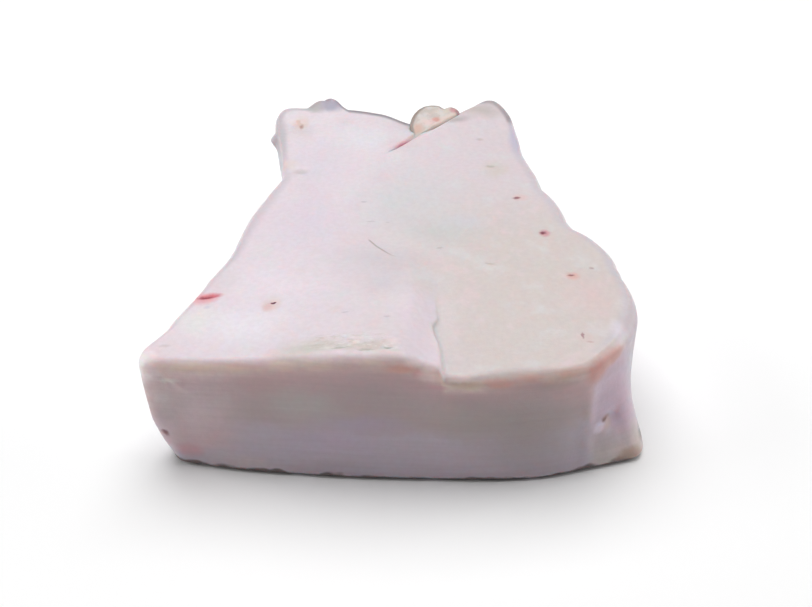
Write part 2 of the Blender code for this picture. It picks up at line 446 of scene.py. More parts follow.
@dataclass(frozen=True)
class Relief:
    """The fine forms of the surface, in the model's frame.

    The top face's forms are heights over it. The wall's forms push it outwards.
    """

    layer_edge: Trail = Trail((
        (16.8, -134.2), (17.1, -118.5), (16.9, -111.7), (16.2, -104.6), (14.7, -99.3),
        (13.9, -93.3), (16.2, -87.4), (15.9, -81.4), (15.7, -72.2), (15.2, -50.2),
    ))
    layer_step: float = 0.5
    layer_step_width: float = 2.0
    layer_front_y: Plan = (-70.0, -100.0)
    layer_level_length: float = 26.0
    crack_depth: float = 0.12
    crack_half_width: float = 0.7
    crack_start: Plan = (0.32, 0.42)
    crack_end: Plan = (0.52, 0.60)
    slit: Trail = Trail((
        (-8, 64.7), (-4.3, 69.3), (0.6, 75.1), (5.6, 80.8), (10.7, 90.4), (16.4, 94.6),
        (22, 96.1), (27.9, 102.4), (32, 105.2),
    ))
    hair: Trail = Trail((
        (-15.6, -20.9), (-14.9, -22.1), (-11.4, -28.1), (-7.5, -33.1), (-4.2, -37.1),
        (-0.9, -39), (1.6, -39.4),
    ))
    slit_depth: float = 1.9
    slit_half_width: float = 1.4
    slit_shares: tuple[float, ...] = (0.0, 0.15, 0.3, 0.5, 1.0)
    slit_depths: tuple[float, ...] = (0.1, 0.8, 1.0, 0.35, 0.1)
    slit_lip: float = 0.5
    slit_lip_place: float = 2.6
    slit_lip_half_width: float = 1.8
    slit_lip_reach: float = 8.0
    top_waves: tuple[Wave, ...] = (
        Wave((38, 44, 9), 0.45),
        Wave((13, 15, 9), 0.16, fine=True),
        Wave((5, 6.5, 9), 0.07, fine=True, shift=40),
    )
    wall_waves: tuple[Wave, ...] = (
        Wave((34, 34, 24), 0.5),
        Wave((9, 9, 8), 0.22, -0.10, fine=True),
        Wave((55, 55, 2.4), 0.0, 0.10, fine=True),
        Wave((70, 70, 6), 0.0, 0.12),
    )
    dents: tuple[Dent, ...] = (
        Dent((-53.4, 45.5), (6, 3), 0.35, 10),
        Dent((49, 121), (11, 10), 1.3),
        Dent((-57.6, 100.2), (1.8, 5), 0.9, 80),
        Dent((19, -27.2), (3, 1.6), 0.35, 20),
        Dent((41.8, -43), (3.5, 1.6), 0.35, -15),
        Dent((-85, -69.8), (5, 1.2), 0.8, 14),
        Dent((-55.5, -76.5), (1.6, 1.2), 0.6),
        Dent((-30, -111), (20, 2.6), 0.35),
        Dent((35, 88), (9, 7), 0.5, 30),
        Dent((-24.5, -114.6), (5, 1), 0.55, 3),
        Dent((-13.8, -116.8), (4.4, 1), 0.55, -3),
        Dent((-4.5, -116.2), (2.6, 1), 0.8),
        Dent((-18.1, -111.4), (2.4, 1.3), -0.55, 10),
        Dent((-26.5, -111), (3.2, 1.2), -0.4, -6),
        Dent((-1.7, -111.3), (3, 1.4), -0.45, 12),
        Dent((-5.2, -93.6), (1.8, 1.1), 0.4, -20),
        Dent((47.6, 49.9), (3.4, 1.8), 0.5, -8),
        Dent((43.8, 79.5), (3, 1.8), 0.4, 5),
    )
    wall_marks: tuple[WallMark, ...] = (
        WallMark((88, -118, 21.5), (4, 6, 4.5), 1.6),
        WallMark((93, -113.5, 23.5), (4, 6, 3), -1.5),
        WallMark((-97.6, -117, 48.6), (6, 6, 1.5), -0.5, -0.8),
        WallMark((-93.6, -117, 46.4), (7, 6, 2.6), 0.6, -0.5),
        WallMark((-101, -116, 18.4), (4, 5, 2.6), -0.9),
        WallMark((-70.5, 89, 52), (7, 2.8, 4.6), 3),
        WallMark((-66, 70, 46), (9, 17, 16), -1.7),
        WallMark((80.2, -118, 24), (3.2, 5, 26), 0.9),
    )
    broad: Unevenness = field(default_factory=lambda: Unevenness(3))
    small: Unevenness = field(default_factory=lambda: Unevenness(8))

    def waves(
        self,
        kinds: Sequence[Wave],
        place: Sequence[np.ndarray],
        front: Union[float, np.ndarray] = 0.0,
    ) -> np.ndarray:
        """Adds up waves: each is its height, grown by the front share, times its noise.

        Args:
            kinds: the waves.
            place: x, y and z of the places, in millimetres.
            front: how much each place faces the front, from 0 to 1.

        Returns:
            The sum at each place, in millimetres.
        """
        x, y, z = place
        total = np.zeros(np.shape(x))
        for wave in kinds:
            noise = self.small if wave.fine else self.broad
            height = wave.height + wave.on_front * front
            total += height * noise.at(x + wave.shift, y, z, wave.cell)
        return total

    def top(self, x: np.ndarray, y: np.ndarray) -> np.ndarray:
        """Height that the fine forms add to the top face at each plan place.

        The layer's edge is a smooth step down, whose low side comes back level as a bell, with
        a fine crack along it. The slit is a groove with the section of a bell and a low lip on
        its right. Each dent is a turned bell. The waves make the face gently uneven.

        Args:
            x, y: places in plan, in the model's frame, in millimetres.

        Returns:
            The heights, in millimetres.
        """
        z = self.waves(self.top_waves, (x, y, np.zeros(np.shape(x))))

        _, share, right = self.layer_edge.measure(x, y)
        front = between(y, self.layer_front_y)
        back_level = np.exp(-((np.clip(right, 0.0, None) / self.layer_level_length) ** 2))
        step = smooth_step(right / self.layer_step_width + 0.5)
        z -= self.layer_step * front * step * back_level
        crack = between(share, self.crack_start) * (1.0 - between(share, self.crack_end))
        z -= self.crack_depth * crack * np.exp(-(((right - 1.0) / self.crack_half_width) ** 2))

        distance, share, right = self.slit.measure(x, y)
        depth = np.interp(share, self.slit_shares, self.slit_depths)
        z -= self.slit_depth * depth * np.exp(-((distance / self.slit_half_width) ** 2))
        lip = np.exp(-(((right - self.slit_lip_place) / self.slit_lip_half_width) ** 2))
        z += self.slit_lip * depth * lip * (distance < self.slit_lip_reach)

        for dent in self.dents:
            turn = math.radians(dent.turn)
            east, north = x - dent.place[0], y - dent.place[1]
            long = east * math.cos(turn) + north * math.sin(turn)
            wide = north * math.cos(turn) - east * math.sin(turn)
            z -= dent.depth * bell(long, wide, *dent.half)
        return z

    def wall(self, x: np.ndarray, y: np.ndarray, z: np.ndarray, front: np.ndarray) -> np.ndarray:
        """How far the fine forms push the wall outwards at each place.

        Of the waves, the long and low one on the front face leaves the level marks of the knife.
        Each mark is a bell in space, and slope tilts it by its rise in z for each millimetre in x.

        Args:
            x, y, z: places in the model's frame, in millimetres.
            front: how much each place faces the front, from 0 to 1.

        Returns:
            The push at each place, in millimetres.
        """
        push = self.waves(self.wall_waves, (x, y, z), front)
        for mark in self.wall_marks:
            east = (x - mark.place[0]) / mark.half[0]
            north = (y - mark.place[1]) / mark.half[1]
            up = (z - mark.place[2] - mark.slope * (x - mark.place[0])) / mark.half[2]
            push += mark.push * np.exp(-(east**2 + north**2 + up**2))
        return push


def make_mesh(name: str, points: np.ndarray, faces: Sequence[np.ndarray]) -> bpy.types.Object:
    """Puts points, in millimetres, and faces into a new mesh object at the origin.

    Args:
        name: name of the object and its mesh.
        points: an array of n by 3.
        faces: arrays of corner numbers, each of k by 3 or k by 4.

    Returns:
        The linked, smooth-shaded object.
    """
    mesh = bpy.data.meshes.new(name)
    corners = np.concatenate([part.ravel() for part in faces]).astype(np.int32)
    sizes = np.concatenate([np.full(len(part), part.shape[1]) for part in faces]).astype(np.int32)
    starts = np.concatenate([[0], np.cumsum(sizes)[:-1]]).astype(np.int32)
    mesh.vertices.add(len(points))
    mesh.vertices.foreach_set("co", (points * MM).astype(np.float32).ravel())
    mesh.loops.add(len(corners))
    mesh.loops.foreach_set("vertex_index", corners)
    mesh.polygons.add(len(sizes))
    mesh.polygons.foreach_set("loop_start", starts)
    mesh.update(calc_edges=True)
    mesh.validate()
    mesh.shade_smooth()
    made = bpy.data.objects.new(name, mesh)
    bpy.context.scene.collection.objects.link(made)
    return made


def add_values(made: bpy.types.Object, name: str, values: np.ndarray) -> None:
    """Stores one number per vertex, which the material reads by its name."""
    layer = made.data.attributes.new(name, "FLOAT", "POINT")
    layer.data.foreach_set("value", values.astype(np.float32))


def evenly_walked(radius_at: Callable[[np.ndarray], np.ndarray], count: int) -> np.ndarray:
    """Angles that cut an outline into count pieces of one length, from angle 0.

    The outline is walked in 12000 short straight pieces, and the share walked so far is turned
    round to give the angle at each share.

    Args:
        radius_at: gives the outline's distance from its hub at each angle.
        count: number of pieces.

    Returns:
        The angles where the pieces start, in radians.
    """
    angles = np.linspace(0.0, 2.0 * math.pi, 12001)
    radius = radius_at(angles)
    steps = np.hypot(np.diff(radius * np.cos(angles)), np.diff(radius * np.sin(angles)))
    walked = np.concatenate([[0.0], np.cumsum(steps)])
    return np.interp(np.arange(count) / count * walked[-1], walked, angles)


@dataclass(frozen=True)
class Stretch:
    """A stretch of the rim with a wider rounding, or a tighter one where more is negative.

    The larger power is, the flatter its middle and the steeper its ends.
    """

    place: Plan
    half_width: float
    more: float
    power: int = 2


@dataclass
class Skin:
    """The closed surface of the slab.

    The top face is a grid of squares laid in rings round the hub, which has no crowded pole.
    Rings of the same number of points go on round the rim, down the wall, round the foot and
    under the base, and close in one point there.
    """

    form: SlabForm
    relief: Relief
    half_rows: int = 100
    rim_rings: int = 9
    wall_rings: int = 46
    foot_rings: int = 5
    under_rings: int = 3
    rim_rounding: float = 4.6
    stretches: tuple[Stretch, ...] = (
        Stretch((-62, -121), 52, 1.9, 4),
        Stretch((-100, -118), 13, 0.8),
        Stretch((21, -127.5), 10, -1.5),
        Stretch((47, -127), 17, 3.2),
        Stretch((99.6, -84), 20, 1.6),
    )
    rounding_wave: Wave = Wave((16, 16, 9), 0.8)
    wave_circle: float = 70.0
    foot_push: float = 0.1
    foot_calm: float = 12.0

    def rounding(self, angles: np.ndarray) -> np.ndarray:
        """Radius of the rim's rounding: a plain one, a slow wave and a bell for each stretch.

        Args:
            angles: directions from the hub, in radians.

        Returns:
            The radius at each angle, in millimetres.
        """
        x, y = self.wave_circle * np.cos(angles), self.wave_circle * np.sin(angles)
        flat = np.zeros(np.shape(x))
        radius = self.rim_rounding + self.relief.waves((self.rounding_wave,), (x, y, flat))
        for stretch in self.stretches:
            across = self.form.rim.sideways(angles, stretch.place) / stretch.half_width
            radius = radius + stretch.more * np.exp(-(across**stretch.power))
        return radius

    def top_grid(self) -> tuple[np.ndarray, np.ndarray, np.ndarray]:
        """Plan places of the top face's grid, and how far each lies in from the rim.

        A grid place (i, j) is on the ring k, the larger of |i| and |j|. Walking that ring
        anticlockwise gives the share of the way round, thus the angle, and its distance from
        the hub is k / half_rows of that of the last ring.

        Returns:
            x and y of the grid places, and how far in from the rim each lies, in millimetres.
        """
        n = self.half_rows
        i, j = np.meshgrid(np.arange(-n, n + 1), np.arange(-n, n + 1), indexing="ij")
        k = np.maximum(np.abs(i), np.abs(j))
        walk = np.where((i == k) & (j < k), j, 0)
        walk = np.where((j == k) & (i > -k), 2 * k - i, walk)
        walk = np.where((i == -k) & (j > -k), 4 * k - j, walk)
        walk = np.where((j == -k) & (i < k), 6 * k + i, walk)
        share = np.where(k > 0, walk / np.maximum(8 * k, 1), 0.0) % 1.0
        table = evenly_walked(self.form.rim_radius, 4000)
        angles = np.interp(share, np.arange(4001) / 4000, np.append(table, 2.0 * math.pi))
        reach = self.form.rim_radius(angles) - self.rounding(angles)
        hub = self.form.rim.hub
        x = hub[0] + reach * k / n * np.cos(angles)
        y = hub[1] + reach * k / n * np.sin(angles)
        return x, y, reach * (1.0 - k / n)

    def border(self) -> np.ndarray:
        """Numbers of the grid's border vertices, anticlockwise from angle 0.

        Returns:
            The numbers of the vertices.
        """
        n = self.half_rows
        walk = (np.arange(8 * n) + n) % (8 * n)
        side, step = walk // (2 * n), walk % (2 * n)
        i = np.choose(side, [np.full(8 * n, n), n - step, np.full(8 * n, -n), step - n])
        j = np.choose(side, [step - n, np.full(8 * n, n), n - step, np.full(8 * n, -n)])
        return (i + n) * (2 * n + 1) + (j + n)

    def build(self) -> bpy.types.Object:
        """Makes the skin's mesh, with the numbers that its material reads.

        Each ring has a distance from the hub, a height, a depth below the rim and the share of
        the wall's push that it takes. The rim and the foot follow quarter circles, and the wall
        goes from the rim's line to the base's by a power of the way down, with its waist added
        as half a sine wave.

        Returns:
            The skin.
        """
        n, form = self.half_rows, self.form
        move = np.array([*form.over_origin, 0.0])
        x, y, inwards = self.top_grid()
        z = form.top_height(x, y) + self.relief.top(x + move[0], y + move[1])
        top = np.column_stack([x.ravel(), y.ravel(), z.ravel()])
        edge = self.border()

        angles = evenly_walked(self.form.rim_radius, 8 * n)
        rim, base, waist = form.rim_radius(angles), form.base_radius(angles), form.waist(angles)
        rounding, edge_height = self.rounding(angles), top[edge, 2]
        across = np.cos(angles), np.sin(angles)
        outward = self.wall_direction(angles, rim)
        front = smooth_step((-outward[1] - 0.35) / 0.4)

        rings = []
        for i in range(self.rim_rings):
            turn = math.pi / 2 * (i + 1) / self.rim_rings
            radius = rim - rounding * (1.0 - math.sin(turn))
            height = edge_height - rounding * (1.0 - math.cos(turn))
            rings.append((radius, height, rounding * turn, math.sin(turn) ** 2))
        for i in range(self.wall_rings):
            down = (i + 1) / self.wall_rings
            shift = down**form.wall_delay
            radius = rim * (1.0 - shift) + base * shift + waist * math.sin(math.pi * shift)
            height = (edge_height - rounding) * (1.0 - down) + form.foot_rounding * down
            deep = rounding * math.pi / 2 + (edge_height - rounding) * down
            calm = float(smooth_step(np.array((1.0 - down) * self.foot_calm)))
            rings.append((radius, height, deep, calm * (1.0 - self.foot_push) + self.foot_push))
        for i in range(self.foot_rings):
            turn = math.pi / 2 * (i + 1) / self.foot_rings
            radius = base - form.foot_rounding * (1.0 - math.cos(turn))
            height = np.full(8 * n, form.foot_rounding * (1.0 - math.sin(turn)))
            deep = edge_height + form.foot_rounding * turn
            rings.append((radius, height, deep, self.foot_push * (1.0 - math.sin(turn))))
        for i in range(self.under_rings):
            share = (1.0 - (i + 1) / (self.under_rings + 1)) ** 0.5
            radius = (base - form.foot_rounding) * share
            rings.append((radius, np.zeros(8 * n), edge_height + UNDER_DEPTH, 0.0))

        points, below = [top], [-inwards.ravel()]
        for radius, height, deep, share in rings:
            east = form.rim.hub[0] + radius * across[0]
            north = form.rim.hub[1] + radius * across[1]
            push = share * self.relief.wall(east + move[0], north + move[1], height, front)
            pushed = east + push * outward[0], north + push * outward[1], height
            points.append(np.column_stack(pushed))
            below.append(deep)
        points.append(np.array([[form.rim.hub[0], form.rim.hub[1], 0.0]]))
        below.append(np.array([POLE_DEPTH]))

        place = np.concatenate(points) + move
        made = make_mesh("slab_skin", place, self.faces(edge, len(rings)))
        add_values(made, "below_rim", np.concatenate(below))
        ring_front = np.tile(front, len(rings))
        ring_right = np.tile(smooth_step((outward[0] - 0.25) / 0.5), len(rings))
        none = np.zeros(len(top))
        add_values(made, "facing_front", np.concatenate([none, ring_front, [0.0]]))
        add_values(made, "facing_right", np.concatenate([none, ring_right, [0.0]]))
        relief = self.relief
        trails = {"layer_edge": relief.layer_edge, "slit": relief.slit, "hair": relief.hair}
        for name, trail in trails.items():
            distance, share, right = trail.measure(place[:, 0], place[:, 1])
            add_values(made, f"{name}_distance", right)
            add_values(made, f"{name}_share", share)
        return made

    def wall_direction(self, angles: np.ndarray, rim: np.ndarray) -> tuple[np.ndarray, np.ndarray]:
        """Outward direction of the wall in plan: the rim's line over 9 points, turned right.

        Args:
            angles: directions from the hub, in radians.
            rim: the rim's distance from the hub at each angle.

        Returns:
            x and y of the unit vectors that point out of the wall.
        """
        x, y = rim * np.cos(angles), rim * np.sin(angles)
        run_x = np.roll(x, -4) - np.roll(x, 4)
        run_y = np.roll(y, -4) - np.roll(y, 4)
        length = np.hypot(run_x, run_y)
        return run_y / length, -run_x / length

    def faces(self, edge: np.ndarray, ring_count: int) -> list[np.ndarray]:
        """Corner numbers of the grid's squares, of those between rings and of the closing fan.

        Args:
            edge: numbers of the grid's border vertices.
            ring_count: number of rings below the grid.

        Returns:
            Arrays of corner numbers, a row for each face.
        """
        side = 2 * self.half_rows + 1
        i, j = np.meshgrid(np.arange(side - 1), np.arange(side - 1), indexing="ij")
        corner = (i * side + j).ravel()
        squares = np.column_stack([corner, corner + side, corner + side + 1, corner + 1])
        around = len(edge)
        rows = np.arange(ring_count * around).reshape(ring_count, around) + side * side
        upper = np.vstack([edge[None, :], rows[:-1]])
        walls = [upper, rows, np.roll(rows, -1, axis=1), np.roll(upper, -1, axis=1)]
        belts = np.stack([part.ravel() for part in walls], axis=1)
        last = rows[-1]
        pole = np.full(around, side * side + ring_count * around)
        fan = np.column_stack([last, pole, np.roll(last, -1)])
        return [squares, belts, fan]


@dataclass
class Tag:
    """The folded tag of fat: a flap that rises out of the slit and hangs down the notch.

    Its flat upper side is one face with the cut of the slit. Places are in the model's frame.
    """

    relief: Relief
    outline: Outline = Outline((
        (7.6, 83.5), (12.6, 88.6), (17.6, 93), (23.2, 96.6), (29.2, 101.6), (33.2, 105.6),
        (33.4, 110.2), (30.6, 113.4), (27.4, 113.9), (24.9, 113.3), (22.4, 115.4), (17.4, 116.2),
        (13.2, 114.2), (8.6, 109.4), (6.3, 104.2), (5, 97.4), (4.9, 90),
    ), hub=(18, 104))
    around: int = 320
    top_rings: int = 26
    rim_rings: int = 8
    hang_rings: int = 36
    root_height: float = 56.4
    rise: float = 4.3
    rise_from_y: float = 82.0
    rise_length: float = 25.0
    rounding: float = 2.6
    foot_height: float = 30.0
    narrowing: float = 0.62
    swing: float = 3.0
    bulge: float = 0.4
    hills: tuple[Hill, ...] = (
        Hill((16, 109), (7, 6), 0.8),
        Hill((29.5, 109), (3.5, 4.5), 0.7),
        Hill((24.6, 113), (1.8, 4), -0.9),
        Hill((15, 101), (5, 2), -0.5),
    )
    top_waves: tuple[Wave, ...] = (Wave((8, 7, 9), 0.35), Wave((2.6, 2.4, 9), 0.14, fine=True))
    hang_wave: Wave = Wave((4, 4, 9), 0.6, fine=True)

    def height(self, x: np.ndarray, y: np.ndarray) -> np.ndarray:
        """Height of the upper side: a smooth ramp up from the slit, with hills and waves on it.

        Args:
            x, y: places in plan, in millimetres.

        Returns:
            The heights, in millimetres.
        """
        z = self.root_height + self.rise * smooth_step((y - self.rise_from_y) / self.rise_length)
        waves = self.relief.waves(self.top_waves, (x, y, np.zeros(np.shape(x))))
        return add_hills(z, x, y, self.hills) + waves

    def build(self) -> bpy.types.Object:
        """Makes the flap's closed mesh.

        Rings of even points share the outline. On the upper side they grow with the share of
        the way out, on the rim they follow a quarter circle, and on the hanging side they draw
        in towards the bottom with the square of the way down. Both ends close in one point.

        Returns:
            The flap.
        """
        angles = evenly_walked(self.outline.radius, self.around)
        radius = self.outline.radius(angles)
        across = np.cos(angles), np.sin(angles)
        hub = self.outline.hub
        inner = radius - self.rounding
        rings, below = [], [np.array([-8.0])]
        for i in range(1, self.top_rings + 1):
            reach = inner * i / self.top_rings
            x, y = hub[0] + reach * across[0], hub[1] + reach * across[1]
            rings.append((x, y, self.height(x, y)))
            below.append(reach - inner)
        edge_height = rings[-1][2]
        for i in range(1, self.rim_rings + 1):
            turn = math.pi / 2 * i / self.rim_rings
            reach = inner + self.rounding * math.sin(turn)
            x, y = hub[0] + reach * across[0], hub[1] + reach * across[1]
            rings.append((x, y, edge_height - self.rounding * (1.0 - math.cos(turn))))
            below.append(np.full(self.around, self.rounding * turn))
        side_height = rings[-1][2]
        for i in range(1, self.hang_rings + 1):
            down = i / self.hang_rings
            reach = radius * (1.0 - self.narrowing * down**2)
            x = hub[0] + reach * across[0]
            y = hub[1] + reach * across[1] - self.swing * down**2
            z = side_height + (self.foot_height - side_height) * down
            wave = self.relief.waves((self.hang_wave,), (x, y, z))
            push = math.sin(math.pi * down) * (self.bulge + wave)
            rings.append((x + push * across[0], y + push * across[1], z))
            below.append(self.rounding * math.pi / 2 + side_height - z)
        below.append(np.array([30.0]))
        rows = np.stack([np.stack(ring, axis=-1) for ring in rings])
        middle = float(self.height(np.array(hub[0]), np.array(hub[1])))
        start = np.array([[hub[0], hub[1], middle]])
        end = np.array([[hub[0], hub[1] - self.swing, self.foot_height - 1.5]])
        points = np.concatenate([start, rows.reshape(-1, 3), end])
        made = make_mesh("tag", points, self.faces(len(rings)))
        add_values(made, "below_rim", np.concatenate(below))
        return made

    def faces(self, ring_count: int) -> list[np.ndarray]:
        """Corner numbers of the upper fan, the belts and the lower fan.

        Args:
            ring_count: number of rings between the two end points.

        Returns:
            Arrays of corner numbers, a row for each face.
        """
        rows = 1 + np.arange(ring_count * self.around).reshape(ring_count, self.around)
        after = np.roll(rows, -1, axis=1)
        corners = rows[:-1], rows[1:], after[1:], after[:-1]
        belts = np.stack([part.ravel() for part in corners], axis=1)
        top = np.column_stack([np.zeros(self.around, int), rows[0], after[0]])
        low = np.full(self.around, 1 + ring_count * self.around)
        return [belts, top, np.column_stack([rows[-1], low, after[-1]])]


class Wire:
    """A socket that takes part in sums: each operator adds the node that works it out.

    Values go through Math nodes, and vectors through Vector Math nodes.
    """

    def __init__(self, graph: "Graph", socket: bpy.types.NodeSocket) -> None:
        """Wraps a socket of the graph."""
        self.graph = graph
        self.socket = socket

    def is_vector(self) -> bool:
        """True where the socket carries a vector or a colour."""
        return self.socket.type in {"VECTOR", "RGBA"}

    def join(self, operation: str, first: Any, second: Any) -> "Wire":
        """Adds the node for an operation on two terms, wires or numbers.

        Args:
            operation: the node's operation.
            first, second: wires, numbers or vectors.

        Returns:
            What the operation gives.
        """
        vector = any(isinstance(term, Wire) and term.is_vector() for term in (first, second))
        kind, terms = "ShaderNodeMath", [first, second]
        if vector:
            kind = "ShaderNodeVectorMath"
            terms = [(term,) * 3 if isinstance(term, (int, float)) else term for term in terms]
        return self.graph.add(kind, {"operation": operation}, {0: terms[0], 1: terms[1]})

    def __add__(self, other: Any) -> "Wire":
        """This plus the other."""
        return self.join("ADD", self, other)

    def __radd__(self, other: Any) -> "Wire":
        """The other plus this."""
        return self.join("ADD", other, self)

    def __sub__(self, other: Any) -> "Wire":
        """This minus the other."""
        return self.join("SUBTRACT", self, other)

    def __rsub__(self, other: Any) -> "Wire":
        """The other minus this."""
        return self.join("SUBTRACT", other, self)

    def __mul__(self, other: Any) -> "Wire":
        """This times the other."""
        return self.join("MULTIPLY", self, other)

    def __rmul__(self, other: Any) -> "Wire":
        """The other times this."""
        return self.join("MULTIPLY", other, self)

    def __abs__(self) -> "Wire":
        """This without its sign."""
        return self.graph.add("ShaderNodeMath", {"operation": "ABSOLUTE"}, {0: self})


class Graph:
    """The nodes of one material."""

    def __init__(self, name: str) -> None:
        """Makes an empty material with that name."""
        self.material = bpy.data.materials.new(name)
        self.material.use_nodes = True
        self.tree = self.material.node_tree
        self.tree.nodes.clear()

    def add(
        self,
        kind: str,
        settings: dict[str, Any],
        sockets: dict[Any, Any],
        out: Union[int, str] = 0,
    ) -> Wire:
        """Adds one node.

        Args:
            kind: the node's type.
            settings: its properties, which are set first.
            sockets: values or wires for its inputs, by number or name.
            out: number or name of the output to give back.

        Returns:
            The chosen output.
        """
        node = self.tree.nodes.new(kind)
        for name, value in settings.items():
            setattr(node, name, value)
        for key, value in sockets.items():
            if isinstance(value, Wire):
                self.tree.links.new(value.socket, node.inputs[key])
            else:
                node.inputs[key].default_value = value
        return Wire(self, node.outputs[out] if len(node.outputs) else node.inputs[0])

    def place(self) -> Wire:
        """Where the shaded point is on the object, in metres."""
        return self.add("ShaderNodeTexCoord", {}, {}, "Object")

    def stored(self, name: str) -> Wire:
        """A number stored on the mesh."""
        settings = {"attribute_name": name, "attribute_type": "GEOMETRY"}
        return self.add("ShaderNodeAttribute", settings, {}, "Fac")

    def scaled(self, place: Wire, size: Spot) -> Wire:
        """Coordinates in which a box of that size, in millimetres, is one unit."""
        scale = tuple(1.0 / (length * MM) for length in size)
        return place * scale

    def noise(
        self, place: Wire, size: Union[float, Spot], detail: float = 3.0, rough: float = 0.5
    ) -> Wire:
        """Noise between 0 and 1.

        Args:
            place: the coordinates.
            size: length of its features, in millimetres, one for all axes or one for each.
            detail: how many finer layers are added to it.
            rough: how strong each finer layer is, as a share of the one before.

        Returns:
            The noise.
        """
        sizes = size if isinstance(size, tuple) else (size, size, size)
        sockets = {"Vector": self.scaled(place, sizes), "Scale": 1.0}
        sockets |= {"Detail": detail, "Roughness": rough}
        return self.add("ShaderNodeTexNoise", {}, sockets, 0)

    def shifted(self, place: Wire, size: float, reach: float) -> Wire:
        """Coordinates shaken by noise.

        Args:
            place: the coordinates.
            size: length of the noise's features, in millimetres.
            reach: about how far a place moves, in millimetres.

        Returns:
            The shaken coordinates.
        """
        sockets = {"Vector": self.scaled(place, (size,) * 3), "Scale": 1.0, "Detail": 2.0}
        shake = self.add("ShaderNodeTexNoise", {}, sockets, 1) - (0.5, 0.5, 0.5)
        return place + shake * (reach * 2.0 * MM)

    def times_plus(self, vector: Wire, factors: Spot, rest: Union[Wire, Spot]) -> Wire:
        """The vector times the factors, coordinate by coordinate, plus the rest."""
        settings = {"operation": "MULTIPLY_ADD"}
        return self.add("ShaderNodeVectorMath", settings, {0: vector, 1: factors, 2: rest})

    def shakes(self, place: Wire, broad: Plan, fine: Plan) -> dict[str, tuple[Wire, Wire]]:
        """Two shaken places by name, from sizes and reaches, each with its crossed twin."""
        shaken = {"broad": self.shifted(place, *broad), "fine": self.shifted(place, *fine)}
        return {name: (value, self.crossed(value)) for name, value in shaken.items()}

    def crossed(self, place: Wire) -> Wire:
        """The same coordinates with x and y exchanged."""
        x, y, z = self.sides(place)
        return self.add("ShaderNodeCombineXYZ", {}, {0: y, 1: x, 2: z})

    def sides(self, place: Wire) -> list[Wire]:
        """The three coordinates of a place, one by one."""
        node = self.add("ShaderNodeSeparateXYZ", {}, {0: place}).socket.node
        return [Wire(self, output) for output in node.outputs]

    def ramp(
        self, value: Wire, low: float, high: float, start: float = 0.0, end: float = 1.0
    ) -> Wire:
        """Eases from start to end while the value goes from low to high.

        Args:
            value: what is followed.
            low, high: where the easing begins and ends. low may be the larger.
            start, end: the results there.

        Returns:
            The eased value, held outside the two.
        """
        sockets = {"Value": value, "From Min": low, "From Max": high, "To Min": start}
        settings = {"interpolation_type": "SMOOTHSTEP", "clamp": True}
        return self.add("ShaderNodeMapRange", settings, sockets | {"To Max": end})

    def blend(self, share: Any, first: Any, second: Any) -> Wire:
        """A colour between the first, where share is 0, and the second, where it is 1."""
        settings = {"data_type": "RGBA", "clamp_factor": True}
        return self.add("ShaderNodeMix", settings, {0: share, 6: first, 7: second}, 2)

    def finish(self, sockets: dict[str, Any]) -> bpy.types.Material:
        """Ends the material in one shader of raw fat, moist on top and soft below.

        Args:
            sockets: wires and constants for the shader, besides those that all fat shares.

        Returns:
            The finished material.
        """
        sockets = {"Coat Roughness": 0.25, "Subsurface Weight": 1.0, "IOR": 1.42} | sockets
        settings = {"subsurface_method": "RANDOM_WALK"}
        shader = self.add("ShaderNodeBsdfPrincipled", settings, sockets)
        self.add("ShaderNodeOutputMaterial", {}, {"Surface": shader})
        return self.material


class Edge(Enum):
    """How a stain ends: the share of its half size at which it starts to fade, and its shake."""

    CLOUD = (0.0, "broad")
    SOFT = (0.25, "fine")
    FIRM = (0.6, "fine")


@dataclass(frozen=True)
class Stain:
    """A tinted patch or mark: an ellipsoid round a place on the skin, in millimetres.

    turn is in degrees about the vertical. strength is the share of the tint at its middle.
    """

    name: str
    place: Spot
    half: Spot
    tint: Colour
    strength: float = 1.0
    turn: float = 0.0
    edge: Edge = Edge.SOFT

    def lay(self, graph: Graph, shaken: dict[str, tuple[Wire, Wire]], under: Wire) -> Wire:
        """Lays the tint over a colour.

        Turned back about its middle and divided by its half sizes, the ellipsoid is a ball of
        radius 1: x becomes (x cos + y sin - its middle's own) / half, y the same with -sin, so
        each coordinate is place times one vector, plus the crossed place times another, plus a
        third. The distance from the ball's middle fades the tint from the edge's share to 1.

        Args:
            graph: the material's nodes.
            shaken: by the name of a shake, the place and the same place with x and y exchanged.
            under: the colour below.

        Returns:
            The colour with the stain on it.
        """
        start, shake = self.edge.value
        place, crossed = shaken[shake]
        cos, sin = math.cos(math.radians(self.turn)), math.sin(math.radians(self.turn))
        mid_x, mid_y, mid_z = self.place
        half_x, half_y, half_z = (length * MM for length in self.half)
        own = (
            -(mid_x * cos + mid_y * sin) * MM / half_x,
            (mid_x * sin - mid_y * cos) * MM / half_y,
            -mid_z * MM / half_z,
        )
        ball = graph.times_plus(place, (cos / half_x, cos / half_y, 1.0 / half_z), own)
        if self.turn:
            ball = graph.times_plus(crossed, (sin / half_x, -sin / half_y, 0.0), ball)
        away = graph.add("ShaderNodeVectorMath", {"operation": "LENGTH"}, {0: ball}, "Value")
        return graph.blend(graph.ramp(away, start, 1.0, self.strength, 0.0), under, self.tint)


